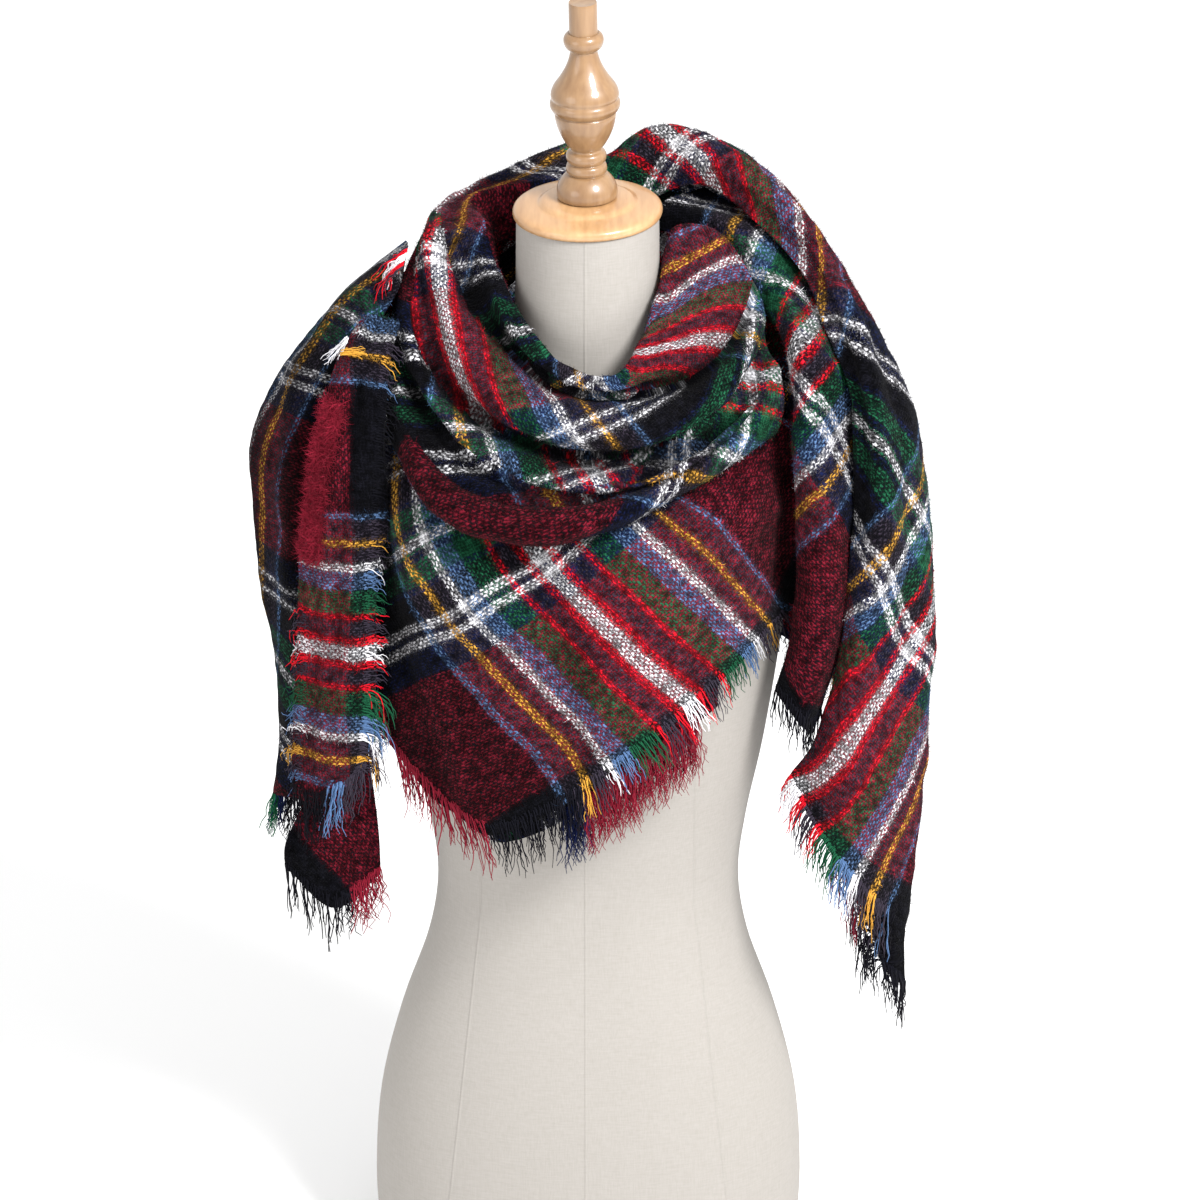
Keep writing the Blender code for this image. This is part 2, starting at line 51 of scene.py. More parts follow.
# name, place, aim, width of the lamp, power in watts
LAMPS = [("key lamp", (1.9, -2.2, 3.1), (0.0, 0.0, 0.6), 1.3, 250.0),
         ("fill lamp", (-2.6, -2.4, 1.4), (0.0, 0.0, 0.6), 2.2, 30.0)]


def mesh_piece(name, points, faces, uv, finish, hollow=None):
    """A smooth mesh object from arrays of points (n x 3) and faces (a list of index arrays,
    one for each number of corners), with one UV pair for each point or each face corner.
    hollow, one number a point, is how deep it lies in a fold, where 1 is the bottom; the finishes
    paint shade by it."""
    mesh = bpy.data.meshes.new(name)
    counts = np.concatenate([np.full(len(part), part.shape[1]) for part in faces])
    corners = np.concatenate([part.reshape(-1) for part in faces]).astype(np.int32)
    mesh.vertices.add(len(points))
    mesh.vertices.foreach_set("co", np.asarray(points, np.float32).reshape(-1))
    mesh.loops.add(len(corners))
    mesh.loops.foreach_set("vertex_index", corners)
    mesh.polygons.add(len(counts))
    starts = np.concatenate([[0], np.cumsum(counts)[:-1]]).astype(np.int32)
    mesh.polygons.foreach_set("loop_start", starts)
    if uv is not None:
        layer = mesh.uv_layers.new(name="cloth")
        uv = np.asarray(uv, np.float32)
        layer.data.foreach_set("uv", (uv if len(uv) == len(corners) else uv[corners]).reshape(-1))
    if hollow is not None:
        deep = mesh.attributes.new("hollow", "FLOAT", "POINT")
        deep.data.foreach_set("value", np.asarray(hollow, np.float32).reshape(-1))
    mesh.update(calc_edges=True)
    mesh.validate()
    mesh.shade_smooth()
    mesh.materials.append(finish)
    piece = bpy.data.objects.new(name, mesh)
    bpy.context.scene.collection.objects.link(piece)
    return piece


class Value:
    """A shader socket that takes part in sums: each operator adds one Math node."""

    def __init__(self, finish, socket):
        self.finish, self.socket = finish, socket

    def math(self, operation, *others):
        """One Math node on this value and any others."""
        inputs = dict(enumerate([self, *others]))
        node = self.finish.node("ShaderNodeMath", {"operation": operation}, inputs)
        return self.finish.value(node)

    def __add__(self, other):
        return self.math("ADD", other)

    def __sub__(self, other):
        return self.math("SUBTRACT", other)

    def __rsub__(self, other):
        return (self * -1.0) + other

    def __mul__(self, other):
        return self.math("MULTIPLY", other)

    def __truediv__(self, other):
        return self.math("DIVIDE", other)

    def __abs__(self):
        return self.math("ABSOLUTE")

    __radd__, __rmul__ = __add__, __mul__

    def within(self):
        """The value held between 0 and 1."""
        node = self.finish.node("ShaderNodeClamp", {}, {"Value": self})
        return self.finish.value(node)


class Finish:
    """A material and the nodes that feed its Principled shader."""

    def __init__(self, name, **constants):
        self.material = bpy.data.materials.new(name)
        self.material.use_nodes = True
        self.tree = self.material.node_tree
        self.surface = self.tree.nodes["Principled BSDF"]
        for key, value in constants.items():
            self.surface.inputs[key.replace("_", " ")].default_value = value

    def node(self, kind, settings=None, inputs=None):
        """A new node: its settings first, then its socket values or links."""
        made = self.tree.nodes.new(kind)
        for key, value in (settings or {}).items():
            setattr(made, key, value)
        for key, value in (inputs or {}).items():
            if isinstance(value, Value):
                self.tree.links.new(value.socket, made.inputs[key])
            else:
                made.inputs[key].default_value = value
        return made

    def value(self, node, output=0):
        """One output of a node."""
        return Value(self, node.outputs[output])

    def feed(self, socket, value):
        """Links a value to the Principled shader's socket."""
        self.tree.links.new(value.socket, self.surface.inputs[socket])

    def place(self, output="Object"):
        """The place on the piece, in metres, or with "UV" its place on the flat cloth."""
        return self.value(self.node("ShaderNodeTexCoord"), output)

    def noise(self, vector, scale, detail=2.0, output=0):
        """Soft noise round one half: output 0 is one number and 1 is three of them."""
        node = self.node("ShaderNodeTexNoise", {}, {"Vector": vector, "Scale": scale,
                         "Detail": detail})
        return self.value(node, output)

    def hollow(self):
        """How deep the point lies in a fold, as stored on the mesh; the finishes darken by it as
        painted shade.
        """
        node = self.node("ShaderNodeAttribute", {"attribute_name": "hollow"})
        return self.value(node, 2)

    def stretch(self, vector, scales):
        """The vector with each part multiplied by its own scale."""
        node = self.node("ShaderNodeVectorMath", {"operation": "MULTIPLY"},
                         {0: vector, 1: scales})
        return self.value(node)

    def split(self, vector):
        """The vector's three parts."""
        node = self.node("ShaderNodeSeparateXYZ", {}, {0: vector})
        return [self.value(node, k) for k in range(3)]

    def mix(self, share, first, second):
        """A colour between two others: share 0 gives the first and 1 the second."""
        node = self.node("ShaderNodeMix", {"data_type": "RGBA"}, {0: share, 6: first, 7: second})
        return self.value(node, 2)

    def shade(self, colour, factor):
        """The colour made darker or lighter by a factor."""
        node = self.node("ShaderNodeVectorMath", {"operation": "SCALE"},
                         {0: colour, "Scale": factor})
        return self.value(node)

    def bump(self, height, distance, strength):
        """Raises the surface by the height, at most by the distance in metres."""
        node = self.node("ShaderNodeBump", {}, {"Strength": strength, "Distance": distance,
                         "Height": height})
        self.feed("Normal", self.value(node))

    def bands(self, share, stops):
        """A stepped ramp: each stop is the share at which its colour starts."""
        node = self.node("ShaderNodeValToRGB", {}, {0: share})
        ramp = node.color_ramp
        ramp.interpolation = "CONSTANT"
        ramp.elements.remove(ramp.elements[1])
        ramp.elements[0].position = 0.0
        ramp.elements[0].color = (*stops[0][1], 1.0)
        for start, colour in stops[1:]:
            ramp.elements.new(start).color = (*colour, 1.0)
        return self.value(node)


collection = bpy.context.scene.collection
camera_data = bpy.data.cameras.new("camera")
camera_data.lens = CAMERA_LENS
camera = bpy.data.objects.new("camera", camera_data)
camera.location = CAMERA_PLACE
camera.rotation_euler = (math.radians(CAMERA_PITCH), 0.0, 0.0)
collection.objects.link(camera)
bpy.context.scene.camera = camera

for lamp_name, place, aim, width, power in LAMPS:
    lamp_data = bpy.data.lights.new(lamp_name, "AREA")
    lamp_data.shape, lamp_data.size, lamp_data.energy = "DISK", width, power
    lamp = bpy.data.objects.new(lamp_name, lamp_data)
    lamp.location = place
    look = np.subtract(aim, place)
    lamp.rotation_euler = (math.acos(-look[2] / np.linalg.norm(look)), 0.0,
                           math.atan2(look[1], look[0]) - math.pi / 2)
    collection.objects.link(lamp)

world = bpy.data.worlds.new("sky")
world.use_nodes = True
sky = world.node_tree.nodes["Background"].inputs
sky["Color"].default_value = SKY_COLOUR
sky["Strength"].default_value = SKY_STRENGTH
bpy.context.scene.world = world
bpy.context.scene.view_settings.view_transform = "Standard"

floor_finish = Finish("pale floor", Roughness=0.9)
floor_tone = floor_finish.noise(floor_finish.place(), 1.5)
floor_finish.feed("Base Color", floor_finish.mix(floor_tone, *FLOOR_TONES))
floor_corners = np.array([(-1, -1, 0), (1, -1, 0), (1, 1, 0), (-1, 1, 0)]) * FLOOR_HALF
floor = mesh_piece("floor", floor_corners, [np.array([[0, 1, 2, 3]])], None,
                   floor_finish.material)

# ============================================================ the dress form
# A limbless torso with a neck, padded and covered in fine pale linen with raised princess
# seams.  It stands on its flat base and carries the whole scarf.
NECK_TOP = 866.0                # mm, centre of the slanted neck plane
NECK_TILT = math.radians(4.0)
NECK_ROLL = math.radians(1.2)
FORM_SIDES = 144
FORM_STEPS = 6
SQUARENESS = 2.25               # power of the torso's oval sections, 2 is an ellipse
ROUND_TO = 60.0                 # mm, half width up to which a section is a plain ellipse
SHARP_EDGE = math.radians(50)
# height, half width, depth to the front, depth to the back, share of the neck tilt, in mm
FORM_RINGS = [
    (0, 168, 112, 120, 0.0), (60, 171, 114, 122, 0.0), (130, 166, 111, 119, 0.0),
    (200, 149, 102, 108, 0.0), (265, 127, 90, 92, 0.0), (320, 119, 86, 84, 0.0),
    (375, 125, 94, 86, 0.0), (440, 138, 108, 93, 0.0), (520, 150, 122, 99, 0.0),
    (580, 156, 113, 102, 0.0), (640, 161, 92, 101, 0.0), (685, 160, 72, 94, 0.0),
    (712, 132, 60, 82, 0.1), (735, 88, 55, 68, 0.3), (760, 63, 54, 58, 0.5),
    (800, 56, 54, 55, 0.8), (866, 54.5, 54, 54, 1.0)]
LINEN_DARK = (0.252, 0.236, 0.212, 1.0)
LINEN_PALE = (0.318, 0.297, 0.276, 1.0)
LINEN_THREADS = 900.0           # noise scale of the weave, a thread is about 1 mm
THREAD_RUN = 0.12               # how much slower it changes along a thread
SEAM_PLACE = 0.083              # m, princess seams either side of the middle
SEAM_SPREAD, SPREAD_BELOW = 0.11, 0.32  # they lie further apart below this height, in m
SEAM_MIDDLE = -0.002            # m, the middle seam
SEAM_WIDTH = 0.0013             # m, half of a seam's ridge


def spline(points, steps):
    """Catmull-Rom curve through the rows of points, with a number of steps a span: a cubic
    through each pair whose slope at a point is half the way between its two neighbours."""
    points = np.asarray(points, dtype=float)
    before = 2 * points[:1] - points[1:2]
    after = 2 * points[-1:] - points[-2:-1]
    padded = np.concatenate([before, points, after])
    t = (np.arange(steps) / steps).reshape((1, -1) + (1,) * (points.ndim - 1))
    a, b, c, d = (padded[k:len(points) - 1 + k, None] for k in range(4))
    spans = 0.5 * (2 * b + (c - a) * t + (2 * a - 5 * b + 4 * c - d) * t ** 2
                   + (3 * b - a - 3 * c + d) * t ** 3)
    return np.concatenate([spans.reshape((-1,) + points.shape[1:]), points[-1:]])


def tilt(points, share):
    """Points turned about the neck plane's centre by a share of the neck's slant."""
    lean, roll = NECK_TILT * share, NECK_ROLL * share
    x, y, z = np.moveaxis(points, -1, 0)
    y, z = y * np.cos(lean) - z * np.sin(lean), y * np.sin(lean) + z * np.cos(lean)
    x, z = x * np.cos(roll) - z * np.sin(roll), x * np.sin(roll) + z * np.cos(roll)
    return np.stack([x, y, z], axis=-1)


def tube_faces(count, sides):
    """Faces of a closed tube of rings: a quad from each side to the next, and two ends."""
    index = np.arange(count * sides).reshape(count, sides)
    after = np.roll(index, -1, axis=1)
    quads = np.stack([index[:-1], after[:-1], after[1:], index[1:]], axis=-1).reshape(-1, 4)
    return quads, np.stack([index[0, ::-1], index[-1]])


def skin(name, rings, uv, finish):
    """A closed body through rings of points (rings x sides x 3), with flat ends."""
    piece = mesh_piece(name, rings.reshape(-1, 3) * MM, tube_faces(*rings.shape[:2]),
                       uv.reshape(-1, 2), finish)
    piece.data.set_sharp_from_angle(angle=SHARP_EDGE)
    return piece


linen = Finish("pale linen", Roughness=0.85)
linen_place = linen.place()
linen_x, _, linen_z = linen.split(linen_place)
seam_line = (SPREAD_BELOW - linen_z).math("MAXIMUM", 0.0) * SEAM_SPREAD + SEAM_PLACE
side_seam = (abs(abs(linen_x) - seam_line) * (1 / SEAM_WIDTH)).within()
middle_seam = (abs(linen_x - SEAM_MIDDLE) * (1 / SEAM_WIDTH)).within()
# 0 on a seam and 1 away from it
plain = side_seam * middle_seam
threads = linen.noise(linen.stretch(linen_place, (1.0, 1.0, THREAD_RUN)), LINEN_THREADS)
picks = linen.noise(linen.stretch(linen_place, (THREAD_RUN, THREAD_RUN, 1.0)), LINEN_THREADS)
cloudy = linen.noise(linen_place, 9.0, 4.0)
weave = threads * 0.5 + picks * 0.5
linen_tone = (weave - 0.5) * 1.5 + cloudy * 0.25 + plain * 0.10 + 0.32
linen.feed("Base Color", linen.mix(linen_tone.within(), LINEN_DARK, LINEN_PALE))
linen.bump(weave * 0.5 - plain * 1.2, 0.0005, 0.6)

heights, half_widths, fronts, backs, shares = spline(FORM_RINGS, FORM_STEPS).T[:, :, None]
around = np.arange(FORM_SIDES) / FORM_SIDES * 2 * math.pi
cosine, sine = np.cos(around)[None], np.sin(around)[None]
bend = 1 + (2 / SQUARENESS - 1) * np.clip((half_widths - ROUND_TO) / ROUND_TO, 0, 1)
form_x = half_widths * np.sign(cosine) * np.abs(cosine) ** bend
form_y = np.where(sine < 0, fronts, backs) * np.sign(sine) * np.abs(sine) ** bend
form_rings = tilt(np.stack([form_x, form_y, np.zeros_like(form_x)], axis=-1), shares)
form_rings[..., 2] += heights
form_uv = np.stack([np.broadcast_to(around * 0.13, form_x.shape),
                    np.broadcast_to(heights * MM, form_x.shape)], axis=-1)
form = skin("linen_form", form_rings, form_uv, linen.material)
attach(form, "root")
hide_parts("dress_form")

# ============================================================ the wooden neck cap and finial
# Both are turned from pale oak and clear varnished.  The cap closes the neck, and the finial
# is screwed into it.
TURNED_SIDES = 72
TURNED_STEPS = 4
# height above the neck plane, radius, in mm
CAP_PROFILE = [
    (0.3, 54.0), (1.5, 56.5), (4.5, 57.3), (7.5, 56.3), (9.3, 53.0), (10.4, 46.0),
    (11.2, 39.0), (12.6, 36.6), (14.0, 34.0), (14.8, 28.0), (15.4, 23.6)]
FINIAL_PROFILE = [
    (15.7, 21.6), (17.0, 23.0), (21.0, 23.2), (26.0, 22.3), (31.0, 19.4), (34.5, 16.0),
    (35.4, 14.2), (37.0, 15.3), (39.5, 15.7), (42.6, 14.8), (44.0, 13.2),
    (45.6, 14.6), (49.0, 15.4), (52.6, 14.4), (54.8, 11.6),
    (59.5, 14.9), (66.5, 18.8), (73.5, 21.5), (80.0, 23.0), (83.5, 23.3),
    (84.8, 22.6), (86.4, 24.6), (90.0, 26.6), (93.2, 26.6), (95.4, 25.6),
    (96.4, 25.4), (99.0, 26.0), (103.0, 25.2), (107.0, 23.2), (113.0, 18.9),
    (120.0, 14.8), (127.0, 11.9), (133.6, 10.4), (135.0, 11.0),
    (137.2, 13.6), (140.4, 15.0), (143.6, 15.3), (146.6, 14.2), (148.6, 12.0),
    (149.2, 10.9), (160.0, 10.8), (171.8, 10.7), (172.6, 9.9)]
OAK = ((0.215, 0.105, 0.040, 1.0), (0.40, 0.238, 0.112, 1.0))
OAK_FIGURE, OAK_PORES = 26.0, 210.0     # noise scales of the broad streaks and the fine ones


def oak_finish(name, streaks, lightness):
    """Varnished oak: broad and fine streaks stretched along the grain, and a clear coat."""
    finish = Finish(name, Roughness=0.42, Coat_Weight=0.7, Coat_Roughness=0.12)
    spot = finish.place()
    broad = finish.noise(finish.stretch(spot, streaks), OAK_FIGURE, 3.0)
    fine = finish.noise(finish.stretch(spot, streaks), OAK_PORES, 2.0)
    tone = (broad - 0.5) * 1.5 + (fine - 0.5) * 0.9 + 0.55
    finish.feed("Base Color", finish.shade(finish.mix(tone.within(), *OAK), lightness))
    finish.feed("Roughness", broad * 0.2 + 0.32)
    finish.bump(fine, 0.0003, 0.35)
    return finish.material


def turned(name, profile, finish, node):
    """A lathed piece on the slanted neck plane, its profile splined in steps."""
    height, radius = spline(profile, TURNED_STEPS).T[:, :, None]
    angle = (np.arange(TURNED_SIDES) / TURNED_SIDES * 2 * math.pi)[None]
    flat = np.stack([np.cos(angle) * radius, np.sin(angle) * radius,
                     np.broadcast_to(height, (len(height), TURNED_SIDES))], axis=-1)
    rings = tilt(flat, 1.0) + np.array([0.0, 0.0, NECK_TOP])
    uv = np.stack(np.broadcast_arrays(angle * 0.05, height * MM), axis=-1)
    piece = skin(name, rings, uv, finish)
    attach(piece, "root")
    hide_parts(node)


turned("oak_neck_cap", CAP_PROFILE, oak_finish("oak across the grain", (1.0, 0.10, 1.0), 1.32),
       "neck_cap")
turned("oak_finial", FINIAL_PROFILE, oak_finish("oak along the grain", (1.0, 1.0, 0.12), 0.78),
       "finial")

# ============================================================ the plaid cloth
# Brushed acrylic yarn in an open plain weave.  Each set of yarns has its own order of stripes,
# mirrored about band centres, and the two mix where they cross.  Places on the flat square
# are p, across the first set of yarns, and q, across the second, in mm.
PITCH = 2.4                     # mm from yarn to yarn
YARN_WIDTH = 0.22               # half of a yarn, as a share of the pitch
YARN_WANDER, YARN_JITTER = 4.0, 2.4     # mm, how far yarns stray, slowly and quickly
FLUFF_REACH = 20.0              # mm, how far brushed fibres carry their colour
# painted shade: the second tone darkens the fluff seen in the gaps between yarns
YARN_TONE, SHADED_FLUFF_TONE = 0.66, 0.19
# painted shade: change of tone at the bottom of a fold; on ridges, where the hollow is below 0,
# painted light
FOLD_PAINTED_SHADE = -0.75               # change of tone at the bottom of a fold
WHITE, BLACK, NAVY = (0.90, 0.89, 0.93), (0.005, 0.005, 0.008), (0.006, 0.010, 0.042)
RED, CRIMSON, GREEN = (0.72, 0.009, 0.022), (0.18, 0.010, 0.022), (0.012, 0.095, 0.044)
BLUE, YELLOW, CHARCOAL = (0.100, 0.185, 0.360), (0.700, 0.350, 0.050), (0.040, 0.032, 0.048)
# first band centre, distance between centres, and the stripes: distance, colour
P_SETT = (203.5, 331.0, [
    (0.0, WHITE), (6.2, RED), (13.0, CHARCOAL), (26.0, RED), (31.5, GREEN), (51.5, BLUE),
    (65.5, WHITE), (72.5, CHARCOAL), (85.5, YELLOW), (92.0, CHARCOAL), (108.5, BLUE),
    (113.5, BLACK)])
Q_SETT = (239.0, 307.33, [
    (0.0, WHITE), (2.5, GREEN), (6.0, NAVY), (10.5, GREEN), (25.0, NAVY), (29.0, BLACK),
    (50.0, WHITE), (56.0, NAVY), (62.0, WHITE), (68.0, NAVY), (91.0, CRIMSON)])
Q_BORDER = 28.0                 # mm, the second set's last yarns at both edges are black
CUT = 1400.0                    # mm, side of the square
CLOTH_MM = (1000.0, 1000.0, 0.0)        # a UV map is in metres and the stripes are in mm


def sett(finish, place, order):
    """Yarn colour at a place across the cloth: its distance from the nearest centre."""
    centre, period, stripes = order
    half = period / 2
    turn = (place - (centre - half)).math("FLOORED_MODULO", period)
    share = abs(turn - half) * (1 / half)
    return finish.bands(share, [(start / half, colour) for start, colour in stripes])


def q_yarn(finish, q):
    """The second set's colour, with its black edge bands."""
    edge = abs(q - CUT / 2).math("GREATER_THAN", CUT / 2 - Q_BORDER)
    return finish.mix(edge, sett(finish, q, Q_SETT), (*BLACK, 1.0))


def cloth_finish(name):
    """Open plain weave: the middle of a yarn of the first set is at p = (i + 0.5) x pitch, and
    it rises and dips along q as sin(pi q / pitch), turned over for every other yarn; the
    second set does the same the other way round.  A yarn shows over its own width, the
    higher one where two cross, and the gaps between yarns show fluff, darkened with painted
    shade."""
    finish = Finish(name, Roughness=0.95, Sheen_Weight=0.015, Sheen_Roughness=0.5,
                    Specular_IOR_Level=0.03)
    flat = finish.stretch(finish.place("UV"), CLOTH_MM)
    # the scales of noise on the flat cloth are in turns a mm
    wander = finish.noise(flat, 0.16, 2.0, 1)
    jitter = finish.noise(flat, 0.62, 1.0, 1)
    fibres = finish.noise(flat, 1.3, 2.0, 1)
    broad = finish.noise(flat, 0.035, 3.0)
    p, q, _ = finish.split(flat)
    wander_p, wander_q, blotch = finish.split(wander)
    jitter_p, jitter_q, fuzz = finish.split(jitter)
    fibre_p, fibre_q, fluffy = finish.split(fibres)
    u = (p + (wander_p - 0.5) * YARN_WANDER + (jitter_p - 0.5) * YARN_JITTER) * (1 / PITCH)
    v = (q + (wander_q - 0.5) * YARN_WANDER + (jitter_q - 0.5) * YARN_JITTER) * (1 / PITCH)
    column, row = u.math("FLOOR"), v.math("FLOOR")
    there_p = ((YARN_WIDTH - abs(u - column - 0.5)) * 5.0 + 0.5).within()
    there_q = ((YARN_WIDTH - abs(v - row - 0.5)) * 5.0 + 0.5).within()
    high_p = ((v + column) * math.pi).math("SINE")
    high_q = ((u + row) * math.pi).math("SINE") * -1.0
    # each yarn is thicker and thinner along its length
    slub_p = finish.noise(finish.stretch(flat, (0.42, 0.13, 0.0)), 1.0, 1.0) * 2.8 - 0.55
    slub_q = finish.noise(finish.stretch(flat, (0.13, 0.42, 0.0)), 1.0, 1.0) * 2.8 - 0.55
    seen_p = there_p * (high_p * 0.45 + 0.6) * slub_p
    seen_q = there_q * (high_q * 0.45 + 0.6) * slub_q
    # in dark blotches the first set lies on top, and in light ones the second
    over = (seen_p - seen_q) * 2.0 + (fuzz - 0.5) * 2.2 + (blotch - 0.5) * 3.9 + 0.54
    yarn = finish.mix(over.within(), q_yarn(finish, (row + 0.5) * PITCH),
                      sett(finish, (column + 0.5) * PITCH, P_SETT))
    # the brushed fibres carry the yarns' colours a few mm to the sides
    fluff = finish.mix(((fluffy - 0.5) * 5.0 + 0.5).within(),
                       q_yarn(finish, q + (fibre_q - 0.5) * FLUFF_REACH),
                       sett(finish, p + (fibre_p - 0.5) * FLUFF_REACH, P_SETT))
    # painted shade: where the yarns are thin or dip under, the darkened fluff of the gaps shows
    depth = seen_p.math("MAXIMUM", seen_q)
    shown = ((depth - 0.45) * 1.8 + (0.5 - blotch) * 1.6 + 0.45).within() * 0.85 + 0.05
    # painted shade: the tone is darker deep in folds and lighter on ridges, by the stored hollow
    tone = (broad * 0.8 + 0.6) * ((0.5 - blotch) * 2.7 + 1.0) * (finish.hollow() * FOLD_PAINTED_SHADE + 1.0)
    colour = finish.mix(shown, finish.shade(fluff, SHADED_FLUFF_TONE), finish.shade(yarn, YARN_TONE))
    finish.feed("Base Color", finish.shade(colour, tone))
    finish.bump(depth * 0.7 + fluffy * 0.7, 0.0012, 0.8)
    return finish.material


CLOTH_FINISH = cloth_finish("brushed plaid")

# The scarf is one square, folded and wound.  Every stretch is a sheet through a few sections,
# laid out on the square so that its stripes keep their true width, then creased, given a
# wall, and brushed with loose fibres.
WALL = 2.0 * MM
COARSE = 2                      # steps a span in the net that is laid flat
FOLLOW_TURNS = 40               # rounds in which it settles
PIN_HOLD = 6.0                  # pull of a read stripe against the pull of one edge
GUESS_HOLD = (1e-6, 30.0, 30.0)         # keeps the slopes of the first guess small
REFINED = 4                     # points from one of the coarse net's to the next, once laid
CREASE_POINTS = 24              # points along each span of a crease
CREASE_FADE, CREASE_END = 6, 0.15       # it fades over a sixth of its length, to this share
WAVES = ((90, 1.0), (60, 0.8), (42, 0.6), (30, 0.45), (20, 0.3), (14, 0.2))  # mm, height
HOLLOW_TURNS = 60               # rounds of smoothing
HOLLOW_DEEPEST, HOLLOW_LEAST = 7.0, -0.35       # mm, and the share on a ridge
NAP_LENGTH, NAP_WIDTH = 7.0, 0.30       # mm
random = np.random.default_rng(7)


def sheet_net(sections, along, across):
    """A sheet of points, along x across x 3, in metres: a curve through the sections' points
    each way, with so many steps to a span."""
    net = spline(sections, along)
    return spline(net.transpose(1, 0, 2), across).transpose(1, 0, 2) * MM


def unit(vectors):
    """The same vectors at length one."""
    return vectors / np.maximum(np.linalg.norm(vectors, axis=-1, keepdims=True), 1e-12)


def normals_of(grid):
    """Unit normals: the cross product of the steps across and along the sheet."""
    return unit(np.cross(np.gradient(grid, axis=1), np.gradient(grid, axis=0)))


def quads_of(index):
    """The four corners of each cell in a grid of point numbers, the same way round."""
    return np.stack([index[:-1, :-1], index[:-1, 1:], index[1:, 1:], index[1:, :-1]],
                    axis=-1).reshape(-1, 4)


def areas_of(grid):
    """The area of each cell: its first two sides' cross product."""
    corner = grid[:-1, :-1]
    return np.linalg.norm(np.cross(grid[1:, :-1] - corner, grid[:-1, 1:] - corner), axis=2)


def bilinear(values, rows, columns):
    """The grid's values at broken rows and columns, each from the four points round it."""
    rows = np.clip(rows, 0, values.shape[0] - 1.001)
    columns = np.clip(columns, 0, values.shape[1] - 1.001)
    i, j = rows.astype(int), columns.astype(int)
    u, v = rows - i, columns - j
    if values.ndim == 3:
        u, v = u[..., None], v[..., None]
    return ((values[i, j] * (1 - v) + values[i, j + 1] * v) * (1 - u)
            + (values[i + 1, j] * (1 - v) + values[i + 1, j + 1] * v) * u)


def lay_flat(net, pins, mirror):
    """Places of a coarse net on the flat square, in mm, as along x across x 2.

    Each quad keeps its shape as nearly as it can while chosen points are held at read
    stripes: quads are turned to their best angle, then all points are solved for at once,
    over and over.  pins are (row, column, p, q) in spans, with None where free."""
    rows, columns = net.shape[:2]
    count = rows * columns
    quads = quads_of(np.arange(count).reshape(rows, columns))
    corner = net.reshape(-1, 3)[quads] / MM
    across = unit(corner[:, 1] + corner[:, 2] - corner[:, 0] - corner[:, 3])
    down = corner[:, 2] + corner[:, 3] - corner[:, 0] - corner[:, 1]
    down = unit(down - across * (down * across).sum(axis=1, keepdims=True))
    local = (corner @ across[..., None])[..., 0] + 1j * (corner @ down[..., None])[..., 0]
    if mirror:
        local = np.conj(local)
    pairs = np.array([(0, 1), (1, 2), (2, 3), (3, 0), (0, 2), (1, 3)])
    steps = local[:, pairs[:, 1]] - local[:, pairs[:, 0]]
    tails, heads = quads[:, pairs[:, 0]], quads[:, pairs[:, 1]]
    base = np.zeros((count, count))
    for one, other, pull in ((tails, tails, 1), (heads, heads, 1),
                             (tails, heads, -1), (heads, tails, -1)):
        np.add.at(base, (one.reshape(-1), other.reshape(-1)), pull)
    solvers, start = [], []
    length = np.cumsum(np.linalg.norm(np.diff(net, axis=0, prepend=net[:1]), axis=2), 0) / MM
    width = np.cumsum(np.linalg.norm(np.diff(net, axis=1, prepend=net[:, :1]), axis=2), 1) / MM
    guess = np.stack([np.ones((rows, columns)), length, width], axis=-1)
    for part in (2, 3):
        held = [pin for pin in pins if pin[part] is not None]
        at = np.zeros((len(held), count))
        for k, (row, column, *_) in enumerate(held):
            spot = np.zeros((rows, columns))
            i = min(int(row * COARSE), rows - 2)
            j = min(int(column * COARSE), columns - 2)
            u, v = row * COARSE - i, column * COARSE - j
            spot[i:i + 2, j:j + 2] = np.outer([1 - u, u], [1 - v, v])
            at[k] = spot.reshape(-1)
        wanted = np.array([pin[part] for pin in held], dtype=float)
        system = base + PIN_HOLD * at.T @ at + 1e-6 * np.eye(count)
        solvers.append((np.linalg.inv(system), PIN_HOLD * at.T @ wanted))
        known = at @ guess.reshape(-1, 3)
        fit = np.linalg.solve(known.T @ known + np.diag(GUESS_HOLD), known.T @ wanted)
        start.append(guess.reshape(-1, 3) @ fit)
    flat = start[0] + 1j * start[1]
    for _ in range(FOLLOW_TURNS):
        turn = (np.conj(steps) * (flat[heads] - flat[tails])).sum(axis=1)
        turn /= np.maximum(np.abs(turn), 1e-9)
        pull = (turn[:, None] * steps).reshape(-1)
        load = np.zeros(count, dtype=complex)
        np.add.at(load, heads.reshape(-1), pull)
        np.add.at(load, tails.reshape(-1), -pull)
        flat = (solvers[0][0] @ (load.real + solvers[0][1])
                + 1j * (solvers[1][0] @ (load.imag + solvers[1][1])))
    return np.stack([flat.real, flat.imag], axis=-1).reshape(rows, columns, 2)


def flat_places(net, pins, along, across):
    """Places on the square for every point of a sheet, from its coarse net: lay_flat both
    ways round, the nearer to the pins kept, then a curve through its rows and columns."""
    tries = []
    for mirror in (False, True):
        flat = lay_flat(net, pins, mirror)
        off = 0.0
        for row, column, *wanted in pins:
            got = bilinear(flat, np.array([row * COARSE]), np.array([column * COARSE]))[0]
            off += sum((g - w) ** 2 for g, w in zip(got, wanted) if w is not None)
        tries.append((off, flat))
    flat = min(tries, key=lambda item: item[0])[1]
    rows, columns = (np.arange((size - 1) // COARSE * steps + 1) * COARSE / steps
                     for size, steps in zip(flat.shape, (along, across)))
    fine = spline(spline(flat, REFINED).transpose(1, 0, 2), REFINED).transpose(1, 0, 2)
    return bilinear(fine, *np.meshgrid(rows * REFINED, columns * REFINED, indexing="ij"))


